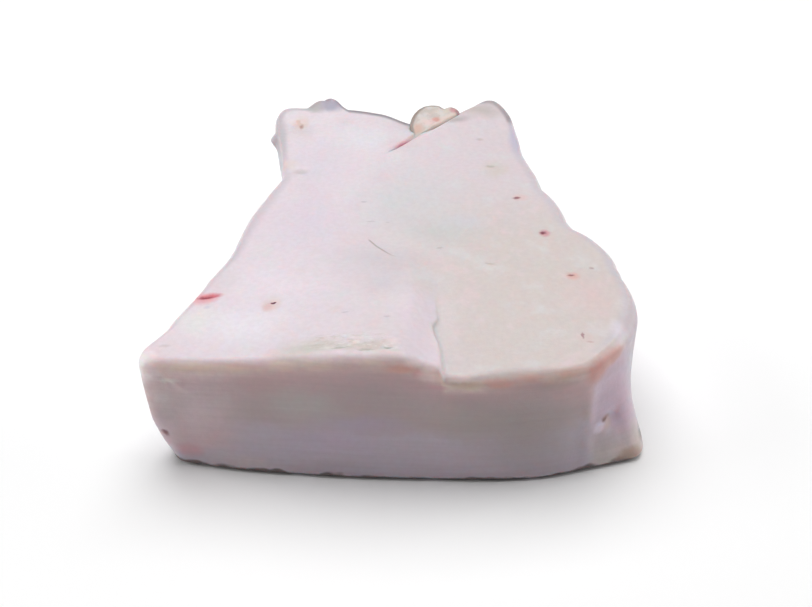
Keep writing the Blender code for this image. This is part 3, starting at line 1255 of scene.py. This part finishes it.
def stains(edge: Edge, depth: float, rows: Sequence[tuple[Any, ...]]) -> tuple[Stain, ...]:
    """Makes stains from the rows of a table.

    Args:
        edge: how a stain ends where its row doesn't say.
        depth: its half size down from the top face, where the row gives plan numbers only.
        rows: name, place, half size and screen colour, and then strength, turn and edge as far
            as they differ from 1, 0 and the table's edge.

    Returns:
        The stains, in the order of the rows.
    """
    made = []
    for name, place, half, tint, *rest in rows:
        if len(place) == 2:
            place, half = (*place, TOP_HEIGHT), (*half, depth)
        strength, turn, own_edge = (*rest, *(1.0, 0.0, edge)[len(rest):])
        made.append(Stain(name, place, half, paint(*tint), strength, turn, own_edge))
    return tuple(made)


@dataclass(frozen=True)
class SkinFinish:
    """Raw pork fat with a moist, faintly mottled surface and small blood marks."""

    left: Colour = paint(224, 213, 220)
    right: Colour = paint(210, 200, 197)
    right_far: Colour = paint(214, 203, 208)
    cool: Colour = paint(214, 215, 216)
    rosy: Colour = paint(224, 206, 209)
    front_upper: Colour = paint(226, 200, 200)
    front_warm: Colour = paint(208, 180, 183)
    front_middle: Colour = paint(196, 178, 180)
    front_low: Colour = paint(202, 190, 202)
    wall_right: Colour = paint(211, 187, 203)
    wall_foot: Colour = paint(221, 207, 206)
    # the back and left walls: the fat's colour greyed by painted shade
    wall_back_shade: Colour = paint(206, 202, 207)
    # painted light: the warm glow of light through the fat below the front rim, tan at the top of
    # the band and rose below it
    rim_glow_tan: Colour = paint(234, 219, 208)
    rim_glow_rose: Colour = paint(212, 176, 178)
    # painted shade on the rims that turn away from the light
    far_edge_shade: Colour = paint(198, 193, 201)
    back_line: Colour = paint(138, 132, 138)
    over_edge: Colour = paint(222, 211, 219)
    under_edge: Colour = paint(218, 208, 208)
    dark_foot_band: Colour = paint(92, 76, 72)
    # painted shade in the fine crack along the layer's edge
    crack_shade: Colour = paint(160, 145, 146)
    hair: Colour = paint(150, 138, 130)
    scuff_dark: Colour = paint(190, 182, 172)
    scuff_light: Colour = paint(236, 231, 227)
    slit_core: Colour = paint(184, 104, 124)
    slit_tail: Colour = paint(150, 128, 142)
    slit_glow: Colour = paint(224, 186, 192)
    fold_side: Colour = paint(203, 184, 178)
    clouds: tuple[Stain, ...] = stains(Edge.CLOUD, 20, (
        ("cool_far_middle", (4, 12), (44, 52), (203, 205, 207), 0.6),
        ("cool_middle", (22, -12), (26, 20), (199, 200, 199), 0.75, 10),
        ("white_far_left", (-20, 78), (20, 26), (222, 221, 227), 0.7),
        ("lavender_middle_left", (-45, -5), (34, 44), (215, 204, 217), 0.6),
        ("beige_back_corner", (46, 112), (22, 13), (192, 184, 181), 0.95),
        ("rosy_front_right", (84, -72), (20, 26), (218, 198, 197), 0.8),
        ("pale_front_left", (-68, -92), (34, 22), (231, 225, 232), 0.9),
        ("pale_left", (-55, -62), (34, 30), (229, 219, 227), 0.8),
        ("pale_green_left_rim", (-88, -88), (12, 16), (226, 227, 223), 0.6),
        ("cream_scuffs_left", (-36, -112.5, 62), (22, 9, 12), (203, 197, 189), 0.9),
        ("cream_scuffs", (-13, -115, 64.5), (22, 6.5, 8), (201, 193, 186), 0.9),
        ("cream_lower_middle", (-6, -42), (26, 20), (201, 193, 195), 0.65, -20),
        ("dusk_middle_left", (-18, -46), (34, 34), (211, 203, 210), 0.55),
        # painted light: the left front corner, lit from the left
        ("pale_left_wall", (-102.5, -116, 39), (10, 9, 11), (240, 228, 229), 0.6),
        ("warm_low_left", (-86, -118.5, 20), (30, 14, 16), (212, 176, 176), 0.7),
        ("dusk_foot_right", (86, -117, 14), (13, 11, 18), (190, 177, 180), 0.65),
        ("dusk_low_middle", (-30, -123, 6), (34, 10, 6), (184, 170, 180), 0.5),
        ("front_violet_band", (-18, -124, 31), (38, 12, 8), (194, 182, 210), 0.5),
        ("grey_right_corner", (106, -108, 13), (7, 10, 11), (205, 199, 194), 0.7),
        ("dusk_right_wall", (88, -115, 36), (11, 10, 14), (198, 176, 192), 0.5),
        ("dusk_under_layer", (28, -126, 44), (22, 12, 9), (176, 159, 163), 0.55),
        ("dusk_rim_middle", (50, -121, 56.5), (20, 8, 5), (202, 186, 184), 0.5),
        ("dusk_top_front", (-6, -64, 59), (16, 16, 20), (207, 198, 206), 0.5),
        ("warm_foot_left", (-66, -120, 5), (26, 10, 6), (224, 204, 201), 0.5),
        ("dusk_back_left", (-56, 91), (12, 16), (208, 201, 205), 0.5),
        ("cool_right_middle", (32, -4), (20, 12), (208, 205, 214), 0.5),
        ("dusk_left_edge", (-84, -58), (14, 16), (215, 204, 209), 0.5),
        ("dusk_front_middle_top", (-2, -84, 62), (22, 12, 20), (222, 212, 215), 0.5),
        # painted light: the left end of the front wall, lit from the left
        ("pale_left_front_wall", (-88, -118, 47), (22, 10, 6), (238, 222, 226), 0.5),
        ("dusk_by_slit", (2, 74), (12, 14), (208, 199, 203), 0.5, 20),
        ("front_green_grey", (-41, -122, 38), (26, 14, 13), (203, 198, 196), 0.7),
        ("front_green_right", (30, -127, 34), (32, 14, 14), (186, 176, 173), 0.7),
        ("front_dusk_right", (56, -127, 30), (42, 14, 36), (177, 166, 166), 0.85),
        ("brown_far_right", (49.9, 46), (11, 13), (206, 196, 189), 0.7),
        # painted light: the left end of the front rim, lit from the left
        ("pale_rim_left", (-88, -117, 53.6), (32, 7, 5.4), (240, 227, 226), 0.8, 0, Edge.SOFT),
        ("front_dusk_middle", (-14, -124, 46), (32, 14, 12), (190, 172, 175), 0.6),
        ("lilac_far_left", (-45, 52), (30, 50), (217, 207, 217), 0.6),
        ("lavender_rim_right", (93.5, -95, 57), (7, 10, 9), (226, 216, 226), 0.7),
        # painted shade: the grey band of the right back edge, turned away from the light
        ("lavender_back_right", (63.6, 82, 55), (5.6, 28, 9), (190, 184, 202), 0.9, -4, Edge.SOFT),
        ("fold_shade", (31, 99.6, 59.5), (14, 5.4, 8), (180, 169, 170), 0.9, 16),
        # painted shade: the grey band of the left back edge, turned away from the light
        ("grey_back_left", (-67, 82, 55), (5.8, 40, 12), (188, 186, 192), 0.95, 6, Edge.SOFT),
        ("front_violet", (-29, -123, 20), (34, 14, 13), (200, 184, 205), 0.6),
        # painted light: the left part of the front face, lit from the left
        ("front_pale_left", (-84, -118, 34), (26, 14, 30), (225, 207, 212), 0.8),
    ))
    marks: tuple[Stain, ...] = stains(Edge.SOFT, 8, (
        ("red_streak_halo", (-86.4, -71.4, 57), (8.5, 6, 9), (224, 160, 168), 0.85, 12),
        ("red_streak_glow", (-84.2, -69.6, 57), (7.4, 3, 9), (208, 92, 108), 0.9, 14),
        ("red_streak", (-86.2, -70.4), (4.6, 1.5), (156, 40, 58), 0.95, 13),
        ("red_dot_ring", (-56, -77.4, 58), (6.6, 8, 9), (224, 204, 203), 0.8),
        ("red_dot_halo", (-57.4, -79.4, 58), (3.8, 4.6, 9), (216, 186, 186), 0.7),
        ("red_dot", (-55.4, -76.4, 58), (1.6, 0.9, 8), (104, 50, 68), 1, 8, Edge.FIRM),
        ("right_streak_halo", (61, 17.4, 57), (5.4, 4.6, 9), (220, 190, 190), 0.7),
        ("right_streak", (59, 17.1), (3, 1.5), (140, 80, 90), 0.95, 14),
        ("right_dot_halo", (69.8, -16.9, 57), (4, 4.4, 9), (208, 140, 150), 0.8),
        ("right_dot", (69.1, -16.6), (2.2, 1.9), (125, 44, 64)),
        ("front_right_halo", (78.9, -54.2, 57), (4.6, 4.6, 9), (218, 172, 164), 0.7),
        ("front_right_dot", (78, -53.8), (2.4, 1.3), (150, 92, 92), 0.9),
        ("rim_right_dot", (88.5, -47.5), (1.9, 1.6), (165, 130, 128), 0.6),
        ("corner_streak_halo", (79, -99.4), (4.6, 5), (216, 194, 192), 0.6),
        ("corner_streak", (77.8, -98), (0.9, 2.6), (158, 116, 120), 0.85, 6),
        ("corner_tail", (80.4, -102.2), (2.2, 1.1), (190, 150, 150), 0.6),
        ("peach_glow", (-57, 101, 57), (6.5, 11, 9), (224, 200, 194), 0.75),
        ("tan_by_tag", (7.6, 84), (5.6, 3.6), (206, 180, 168), 0.7, 42),
        ("orange_dent", (-56.6, 98.4), (1.9, 4.2), (176, 132, 122), 0.85, 6),
        ("orange_dent_tail", (-58.6, 103), (1.8, 4), (206, 168, 154), 0.6, 20),
        ("grey_dent", (-53, 45.5, 57), (6, 3.6, 9), (196, 185, 186), 0.6),
        ("peach_by_dent", (-60, 52, 57), (9, 7, 9), (222, 206, 202), 0.6),
        ("red_low_left", (-101.1, -116.4, 18.4), (2.6, 6, 2.6), (120, 44, 54), 0.95),
        ("knob_pale", (85.8, -117, 21.6), (3.8, 8, 4.4), (232, 224, 240), 0.85),
        ("fleck_brown", (89, -113.8, 24.4), (3.4, 6, 2.6), (164, 128, 122), 0.8),
        ("fleck_dark", (88, -114, 24), (1.6, 5, 1.4), (126, 92, 90), 0.8),
        ("fleck_drip", (90, -113, 21.4), (3, 6, 3.6), (198, 172, 166), 0.6),
        # painted shade: the hump behind the back rim, turned away from the light, green-grey at
        # the left and lavender-blue in the middle
        ("hump_green", (-49, 117.5, 59), (8, 7, 12), (180, 181, 181), 0.85),
        ("hump_blue", (-41, 118, 60), (9, 7, 12), (164, 161, 180), 0.9),
        ("pink_low_left", (-91, -118, 9.9), (9, 6, 6), (214, 150, 160), 0.5),
        ("nick_pale", (-95.8, -117, 48), (6.5, 5, 2.2), (240, 232, 228), 0.75),
        # painted light: the rounded left front corner, lit from the left
        ("pale_left_corner", (-105.8, -113.5, 52.2), (9, 9, 10.5), (244, 240, 242), 0.95),
        ("cut_left", (-24.5, -114.6, 64), (5, 0.9, 6), (180, 172, 162), 0.7, 3),
        ("cut_middle", (-13.8, -117, 65), (5, 0.9, 6), (180, 172, 162), 0.8, -3),
        ("cut_dark", (-4.5, -116.3, 65.3), (2.2, 0.9, 6), (132, 130, 120), 0.95),
        ("cut_green", (-1, -118.2, 65.3), (3.4, 1.1, 5), (190, 198, 184), 0.7),
        ("flake_white", (-18.1, -111.5, 64.5), (2.4, 1.6, 6), (228, 222, 220), 0.6),
        ("flake_peach", (-2.2, -111.2, 65.3), (4.4, 2.6, 6), (226, 209, 204), 0.8),
        ("fleck_grey", (-5.2, -93.6, 64.4), (2.2, 1.3, 6), (190, 180, 188), 0.8),
        ("fleck_grey_left", (-23.2, -88.9, 63), (2.2, 0.9, 6), (196, 186, 192), 0.7),
        ("fleck_corner", (-98.6, -105, 57), (3.6, 1.6, 6), (202, 190, 194), 0.6),
        ("fleck_blue", (-84.4, -78, 57), (2.2, 1.8, 6), (200, 196, 212), 0.6),
        ("dash_far_right", (43.8, 79.5, 57.8), (2.8, 1.9, 8), (190, 180, 178), 0.65),
        ("dash_right", (47.6, 49.9, 57.2), (3.2, 1.7, 8), (182, 172, 164), 0.7, -8),
        ("dash_one", (-18.4, 13.8), (2.4, 0.9), (186, 176, 184), 0.6),
        ("dash_two", (-14.4, -4), (3.4, 0.9), (186, 176, 180), 0.55, 4),
        ("dash_three", (-6.4, -4.4), (1.6, 0.8), (186, 176, 180), 0.5),
        ("pit_middle", (19, -27.2), (2.6, 1.2), (178, 168, 164), 0.5),
        ("pit_right", (41.8, -43), (3.4, 1.2), (180, 168, 162), 0.5, -14),
        ("dusk_right_rim", (66, -122.6, 50.6), (16, 8, 3.6), (190, 166, 164), 0.6),
        ("brown_foot_corner", (100, -115.6, 2.8), (11, 8, 2.6), (120, 98, 90), 0.8),
        # painted shade: a dark strip along the lower right edge
        ("dark_low_edge", (107.8, -103, 13), (2.6, 9, 15), (120, 116, 114), 0.85, -12),
        ("tan_foot_corner", (102, -114, 4.4), (10, 8, 4.6), (192, 170, 155), 0.85),
    ))
    salmon: tuple[Stain, ...] = stains(Edge.SOFT, 8, (
        ("salmon_corner_band", (70, -119.6, 54.6), (12, 5, 3.2), (222, 194, 184), 0.75, 20),
        ("salmon_rim", (87.5, -110, 53.4), (15, 6, 5.4), (216, 172, 164), 0.9, 48),
        ("salmon_corner", (82.4, -115.2, 51.4), (9, 8, 7.4), (206, 152, 144), 0.9, 40),
        ("salmon_rim_end", (91, -105.8, 53.4), (7, 4.6, 4), (208, 160, 152), 0.6, 48),
        ("salmon_front", (53, -124.4, 54.6), (9, 5, 2.6), (224, 184, 174), 0.7, 8),
        ("salmon_right_layer", (41, -125.8, 53.6), (9, 5, 2.6), (226, 182, 174), 0.75),
        ("tan_right_layer", (27, -125.6, 53), (9, 5, 2.6), (214, 197, 180), 0.75),
        ("pink_ledge_foot", (16, -125.6, 51.6), (5.6, 5, 1.8), (216, 170, 178), 0.65),
        ("pink_left_layer", (7.6, -124.2, 58), (4, 5, 2.8), (224, 172, 178), 0.7),
        ("salmon_left_layer", (0.6, -123.6, 60), (9.6, 5, 3), (228, 184, 174), 0.85),
        ("pale_ledge_rim", (6, -123.3, 62), (7, 5, 2.2), (240, 226, 222), 0.7),
        ("pale_ledge_lip", (12, -123.8, 60), (5, 5, 2.2), (244, 230, 226), 0.8),
        ("pale_ledge_wall", (12, -124.4, 56.8), (6.5, 5, 4), (244, 226, 225), 0.8),
        ("pale_right_layer_rim", (23, -125.4, 55.6), (9, 5, 2), (236, 224, 223), 0.7),
    ))

    def dress(self) -> bpy.types.Material:
        """Makes the material: tints of the faces, with painted shade on the back and left walls
        and the far edges, then clouds, a painted glow below the front rim, marks, slit, edge and a
        dark foot band.

        Returns:
            The material.
        """
        g = Graph("pork_fat_skin")
        place = g.place()
        shaken = g.shakes(place, (16.0, 6.0), (2.2, 0.8))
        below = g.stored("below_rim")
        front, right = g.stored("facing_front"), g.stored("facing_right")
        split = dict(zip("xyz", g.sides(shaken["broad"][0])))

        mottle = g.noise(place, 13.0, 5.0, 0.55)
        grain = g.noise(place, 2.6, 4.0, 0.6)
        far = g.blend(g.ramp(split["y"], -0.03, 0.05), self.right, self.right_far)
        colour = g.blend(g.ramp(split["x"], -0.045, 0.05), self.left, far)
        colour = g.blend(g.ramp(mottle, 0.52, 0.72, 0.0, 0.5), colour, self.cool)
        colour = g.blend(g.ramp(mottle, 0.46, 0.30, 0.0, 0.5), colour, self.rosy)
        ragged = below + (g.noise(place, (9.0, 9.0, 3.0), 4.0, 0.6) - 0.5) * 5.0
        wall = g.blend(g.ramp(below, 7.0, 15.0), self.front_upper, self.front_warm)
        wall = g.blend(g.ramp(below, 15.0, 27.0), wall, self.front_middle)
        wall = g.blend(g.ramp(split["z"], 0.032, 0.022), wall, self.front_low)
        right_side = g.blend(g.ramp(split["z"], 0.022, 0.006), self.wall_right, self.wall_foot)
        # the back and left walls take the colour greyed by painted shade
        side = g.blend(right, self.wall_back_shade, right_side)
        wall = g.blend(front * g.ramp(right, 0.95, 0.60), side, wall)
        colour = g.blend(g.ramp(below, 2.5, 10.0), colour, wall)
        colour = self.lay_far_edge_shade(g, colour, split, below, front)
        for cloud in self.clouds:
            colour = cloud.lay(g, shaken, colour)
        # painted light: a warm glow of light through the fat below the front rim, tan, then rose
        # lower down
        patchy = g.ramp(g.noise(place, 14.0, 2.0), 0.38, 0.62, 0.25, 1.0)
        rim_glow_band = g.ramp(ragged, 3.0, 6.0) * g.ramp(ragged, 11.0, 7.0, 0.0, 0.8) * patchy
        colour = g.blend(rim_glow_band * front, colour, self.rim_glow_tan)
        rim_glow_fade = g.ramp(ragged, 8.0, 11.0) * g.ramp(ragged, 18.0, 12.0, 0.0, 0.2)
        colour = g.blend(rim_glow_fade * front, colour, self.rim_glow_rose)
        for mark in self.salmon + self.marks:
            colour = mark.lay(g, shaken, colour)
        colour = self.lay_scuffs(g, colour, place, split, below)
        colour = self.lay_slit(g, colour, place)
        colour = self.lay_layer_edge(g, colour, place, below)
        colour = self.lay_dark_foot_band(g, colour, place, split["z"])

        level = g.noise(place, (60.0, 60.0, 2.2), 4.0, 0.6)
        shade = g.ramp(grain, 0.3, 0.7, 0.0, 0.10) + g.ramp(level, 0.35, 0.65, 0.0, 0.12) * front
        colour = g.blend(shade, colour, paint(170, 152, 156))

        rough = g.ramp(mottle, 0.3, 0.7, 0.36, 0.52) + g.ramp(grain, 0.3, 0.7, -0.04, 0.05)
        height = grain * 0.5 + g.noise(place, 0.8, 3.0, 0.6) * 0.25 + level * front * 0.9
        bump = g.add(
            "ShaderNodeBump", {}, {"Strength": 0.6, "Distance": 0.00035, "Height": height}
        )
        sockets = {"Base Color": colour, "Roughness": rough, "Normal": bump}
        sockets |= {"Coat Weight": g.ramp(mottle, 0.35, 0.65, 0.05, 0.22)}
        sockets |= {"Subsurface Radius": (1.0, 0.35, 0.25), "Subsurface Scale": 0.006}
        return g.finish(sockets)

    def lay_slit(self, g: Graph, under: Wire, place: Wire) -> Wire:
        """Reddens the slit with a pink glow and a red core, and lays the fold's beige side.

        Args:
            g: the material's nodes.
            under: the colour below.
            place: where the shaded point is, in metres.

        Returns:
            The colour with the slit on it.
        """
        away = abs(g.stored("slit_distance")) + (g.noise(place, 1.5) - 0.5) * 0.8
        share = g.stored("slit_share")
        stripes = (
            (0.05, 0.20, 0.34, 0.50, (0.6, 3.8, 0.7), self.slit_glow),
            (0.28, 0.42, 0.70, 0.95, (0.8, 2.8, 0.8), self.fold_side),
            (0.00, 0.16, 0.24, 0.40, (0.0, 1.2, 0.8), self.slit_tail),
            (0.13, 0.22, 0.28, 0.40, (0.2, 1.9, 0.9), self.slit_core),
        )
        colour = under
        for start, full, fading, end, (inner, outer, strength), tint in stripes:
            along = g.ramp(share, start, full) * g.ramp(share, end, fading)
            colour = g.blend(along * g.ramp(away, inner, outer, strength, 0.0), colour, tint)
        return colour

    def lay_layer_edge(self, g: Graph, under: Wire, place: Wire, below: Wire) -> Wire:
        """Tints the two sides of the trimmed layer's edge, and paints shade in its crack.

        Args:
            g: the material's nodes.
            under: the colour below.
            place: where the shaded point is, in metres.
            below: how far the point lies below the rim, in millimetres.

        Returns:
            The colour with the edge on it.
        """
        right = g.stored("layer_edge_distance")
        share = g.stored("layer_edge_share")
        front = g.ramp(share, 0.86, 0.66) * g.ramp(below, 5.0, 1.0)
        colour = g.blend(front * g.ramp(right, 0.6, -0.8) * g.ramp(right, -26.0, -10.0, 0.0, 0.85),
                         under, self.over_edge)
        colour = g.blend(front * g.ramp(right, -0.4, 0.8) * g.ramp(right, 12.0, 3.0, 0.0, 0.7),
                         colour, self.under_edge)
        # painted shade darkening the fine crack along the layer's edge
        away = abs(right - 0.4) + (g.noise(place, 2.5) - 0.5) * 0.9
        crack = g.ramp(share, 0.30, 0.42, 0.25, 1.0) * g.ramp(share, 0.60, 0.52, 0.3, 1.0)
        line = g.ramp(share, 0.80, 0.60) * g.ramp(away, 0.0, 0.8, 0.34, 0.0) * crack
        return g.blend(line * g.ramp(below, 6.0, 2.0), colour, self.crack_shade)

    def lay_far_edge_shade(
        self, g: Graph, under: Wire, split: dict[str, Wire], below: Wire, front: Wire
    ) -> Wire:
        """Paints shade on the rim where it faces away from the front, with a dark line along the
        notched back.

        Args:
            g: the material's nodes.
            under: the colour below.
            split: the shaken coordinates by letter, in metres.
            below: how far the point lies below the rim, in millimetres.
            front: 1 on the cut front face and 0 elsewhere.

        Returns:
            The colour with the painted shade on the rim.
        """
        # painted shade on the outer rim of the back and sides, turned away from the light
        away = (1.0 - front) * g.ramp(split["y"], -0.112, -0.096)
        colour = g.blend(g.ramp(below, -4.4, 0.5, 0.0, 0.75) * away, under, self.far_edge_shade)
        back = g.ramp(split["y"], 0.088, 0.100) * g.ramp(split["x"], 0.014, 0.002)
        back = back * g.ramp(split["x"], -0.062, -0.034, 0.2, 1.0)
        back = back + g.ramp(split["y"], 0.094, 0.102) * g.ramp(split["x"], 0.026, 0.032, 0.0, 0.8)
        line = g.ramp(below, -4.2, -0.4, 0.0, 0.9) * back * g.ramp(below, 9.0, 3.0)
        return g.blend(line, colour, self.back_line)

    def lay_scuffs(
        self, g: Graph, under: Wire, place: Wire, split: dict[str, Wire], below: Wire
    ) -> Wire:
        """Scuffs the strip behind the front rim, and draws the fine hair line on the top.

        Args:
            g: the material's nodes.
            under: the colour below.
            place: where the shaded point is, in metres.
            split: the shaken coordinates by letter, in metres.
            below: how far the point lies below the rim, in millimetres.

        Returns:
            The colour with the scuffs and the hair line.
        """
        strip = g.ramp(below, -14.0, -8.0) * g.ramp(below, 1.0, -2.0)
        strip = strip * g.ramp(split["y"], -0.09, -0.102)
        strip = strip * g.ramp(split["x"], -0.046, -0.030) * g.ramp(split["x"], 0.008, -0.002)
        scuff = g.noise(place, (4.4, 1.8, 6.0), 4.0, 0.65)
        colour = g.blend(strip * g.ramp(scuff, 0.52, 0.64, 0.0, 0.45), under, self.scuff_dark)
        colour = g.blend(strip * g.ramp(scuff, 0.46, 0.36, 0.0, 0.4), colour, self.scuff_light)
        share = g.stored("hair_share")
        line = g.ramp(abs(g.stored("hair_distance")), 0.15, 0.75, 0.65, 0.0)
        line = line * g.ramp(below, -60.0, -70.0)
        return g.blend(line * g.ramp(share, 0.0, 0.1) * g.ramp(share, 1.0, 0.5), colour, self.hair)

    def lay_dark_foot_band(self, g: Graph, under: Wire, place: Wire, z: Wire) -> Wire:
        """Darkens a thin band along the foot, its upper edge broken by noise."""
        ragged = z + (g.noise(place, (9.0, 9.0, 4.0), 3.0) - 0.5) * 0.0016
        return g.blend(g.ramp(ragged, 0.0030, 0.0013, 0.0, 0.92), under, self.dark_foot_band)


@dataclass(frozen=True)
class TagFinish:
    """The tag's fat: creamier and greyer, with painted shade in its hollows, and two rosy spots.
    """

    body: Colour = paint(197, 188, 182)
    pale: Colour = paint(208, 203, 199)
    # painted shade: darkens the hollows of the grain
    brown: Colour = paint(140, 122, 114)
    outline: Colour = paint(128, 116, 110)
    root_side: Colour = paint(213, 199, 192)
    marks: tuple[Stain, ...] = stains(Edge.SOFT, 9, (
        ("pink_middle", (16, 98, 58), (8, 5, 9), (222, 200, 197), 0.8),
        ("tan_root", (9.5, 91.5), (5, 7), (206, 172, 158), 0.85, -20),
        ("orange_spot", (20, 99.6, 59), (3.4, 3.2, 9), (206, 150, 140), 0.85),
        ("cream_spot", (25.6, 108.5, 60), (3.6, 4, 9), (216, 206, 190), 0.5),
        ("rose_spot", (29.8, 108.8, 60), (3, 5, 9), (200, 152, 158), 0.8),
        ("mauve_end", (32.4, 107.5, 59), (2.6, 5, 9), (150, 116, 122), 0.85),
    ))

    def dress(self) -> bpy.types.Material:
        """Makes the material: mottled cream, the spots and hollows darkened by painted shade.

        Returns:
            The material.
        """
        g = Graph("pork_fat_tag")
        place = g.place()
        shaken = g.shakes(place, (9.0, 3.0), (1.8, 0.7))
        mottle, grain = g.noise(place, 5.0, 4.0), g.noise(place, 1.4, 3.0)
        colour = g.blend(g.ramp(mottle, 0.4, 0.62), self.body, self.pale)
        edge = g.stored("below_rim") + (g.noise(place, 2.5) - 0.5) * 1.2
        x, y, _ = g.sides(place)
        behind = y * 0.757 - x * 0.800 - 0.0560
        side = g.ramp(edge, -3.6, -0.8) * g.ramp(behind, 0.005, 0.001)
        colour = g.blend(side, colour, self.root_side)
        for mark in self.marks:
            colour = mark.lay(g, shaken, colour)
        # painted shade in the hollows, where the grain and the bump are low
        colour = g.blend(g.ramp(grain, 0.45, 0.3, 0.0, 0.12), colour, self.brown)
        back = g.ramp(edge, -1.7, 0.5, 0.0, 0.75) * g.ramp(edge, 9.0, 3.0, 0.25, 1.0)
        colour = g.blend(back * g.ramp(behind, 0.001, 0.006), colour, self.outline)
        rough = g.ramp(mottle, 0.3, 0.7, 0.38, 0.55)
        height = grain * 0.6 + mottle
        bump = g.add("ShaderNodeBump", {}, {"Strength": 0.5, "Distance": 0.0003, "Height": height})
        sockets = {"Base Color": colour, "Roughness": rough, "Normal": bump}
        sockets |= {"Coat Weight": g.ramp(grain, 0.35, 0.65, 0.05, 0.2)}
        sockets |= {"Subsurface Radius": (1.0, 0.4, 0.3), "Subsurface Scale": 0.004}
        return g.finish(sockets)


@dataclass(frozen=True)
class Lamp:
    """A square soft light, in metres and watts, aimed at the slab."""

    name: str
    place: Spot
    side: float
    watts: float


@dataclass
class Studio:
    """A plain pale floor, plain soft lights and the camera, in metres.

    floor_drop, the gap between the floor and the slab, is in millimetres.
    """

    floor_half: float = 4.0
    floor_drop: float = 0.1
    floor_colour: Colour = paint(252, 252, 252)
    world_level: float = 0.12
    aim: Spot = (0.0, 0.0, 0.03)
    camera_place: Spot = (0.002828, -0.467174, 0.3423)
    camera_tilt: float = 54.0
    lens: float = 48.77
    lamps: tuple[Lamp, ...] = (
        Lamp("overhead", (-0.05, 0.35, 1.30), 1.3, 18.6),
        Lamp("right_side", (1.3, 0.20, 0.45), 0.8, 6.6),
        Lamp("left_side", (-1.3, -0.02, 0.6), 0.8, 6.5),
    )

    def build(self) -> None:
        """Sets up the floor, the lights, the camera and the plain view of colours."""
        self.build_floor()
        for lamp in self.lamps:
            self.build_lamp(lamp)
        self.build_camera()
        world = bpy.data.worlds.new("soft_room")
        world.use_nodes = True
        world.node_tree.nodes["Background"].inputs[0].default_value = (1.0, 1.0, 1.0, 1.0)
        world.node_tree.nodes["Background"].inputs[1].default_value = self.world_level
        bpy.context.scene.world = world
        bpy.context.scene.view_settings.view_transform = "Standard"

    def build_floor(self) -> None:
        """Lays the floor just under the slab."""
        h = self.floor_half / MM
        z = -self.floor_drop
        corners = np.array([[-h, -h, z], [h, -h, z], [h, h, z], [-h, h, z]])
        floor = make_mesh("floor", corners, [np.array([[0, 1, 2, 3]])])
        g = Graph("pale_floor")
        shader = g.add(
            "ShaderNodeBsdfPrincipled", {}, {"Base Color": self.floor_colour, "Roughness": 0.9}
        )
        g.add("ShaderNodeOutputMaterial", {}, {"Surface": shader})
        floor.data.materials.append(g.material)

    def build_lamp(self, lamp: Lamp) -> None:
        """Hangs one soft light and turns it to the slab.

        Args:
            lamp: its name, place, size and power.
        """
        light = bpy.data.lights.new(lamp.name, "AREA")
        light.size, light.energy = lamp.side, lamp.watts
        made = bpy.data.objects.new(lamp.name, light)
        bpy.context.scene.collection.objects.link(made)
        made.location = lamp.place
        back = [a - b for a, b in zip(lamp.place, self.aim)]
        made.rotation_euler = (math.atan2(math.hypot(back[0], back[1]), back[2]), 0.0,
                               math.atan2(back[1], back[0]) + math.pi / 2)

    def build_camera(self) -> None:
        """Puts the camera where the photograph was taken from."""
        camera = bpy.data.objects.new("camera", bpy.data.cameras.new("camera"))
        bpy.context.scene.collection.objects.link(camera)
        camera.location = self.camera_place
        camera.rotation_euler = (math.radians(self.camera_tilt), 0.0, 0.0)
        camera.data.lens = self.lens
        camera.data.sensor_width = 36.0
        bpy.context.scene.camera = camera


def place_piece(made: bpy.types.Object, finish: bpy.types.Material) -> None:
    """Dresses a piece, lets it ride on the slab's body and stand for the slab's solid.

    Args:
        made: the piece.
        finish: its material.
    """
    made.data.materials.append(finish)
    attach(made, BODY)
    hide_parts(NODE)
    log.info("%s: %d vertices", made.name, len(made.data.vertices))


def main() -> None:
    """Builds the slab's pieces and the studio."""
    logging.basicConfig(level=logging.INFO, format="%(name)s: %(message)s")
    form, relief = SlabForm(), Relief()
    place_piece(Skin(form, relief).build(), SkinFinish().dress())
    place_piece(Tag(relief).build(), TagFinish().dress())
    studio = Studio()
    studio.build()
    log.info("studio: floor, %d lights and camera", len(studio.lamps))


if __name__ == "__main__":
    main()
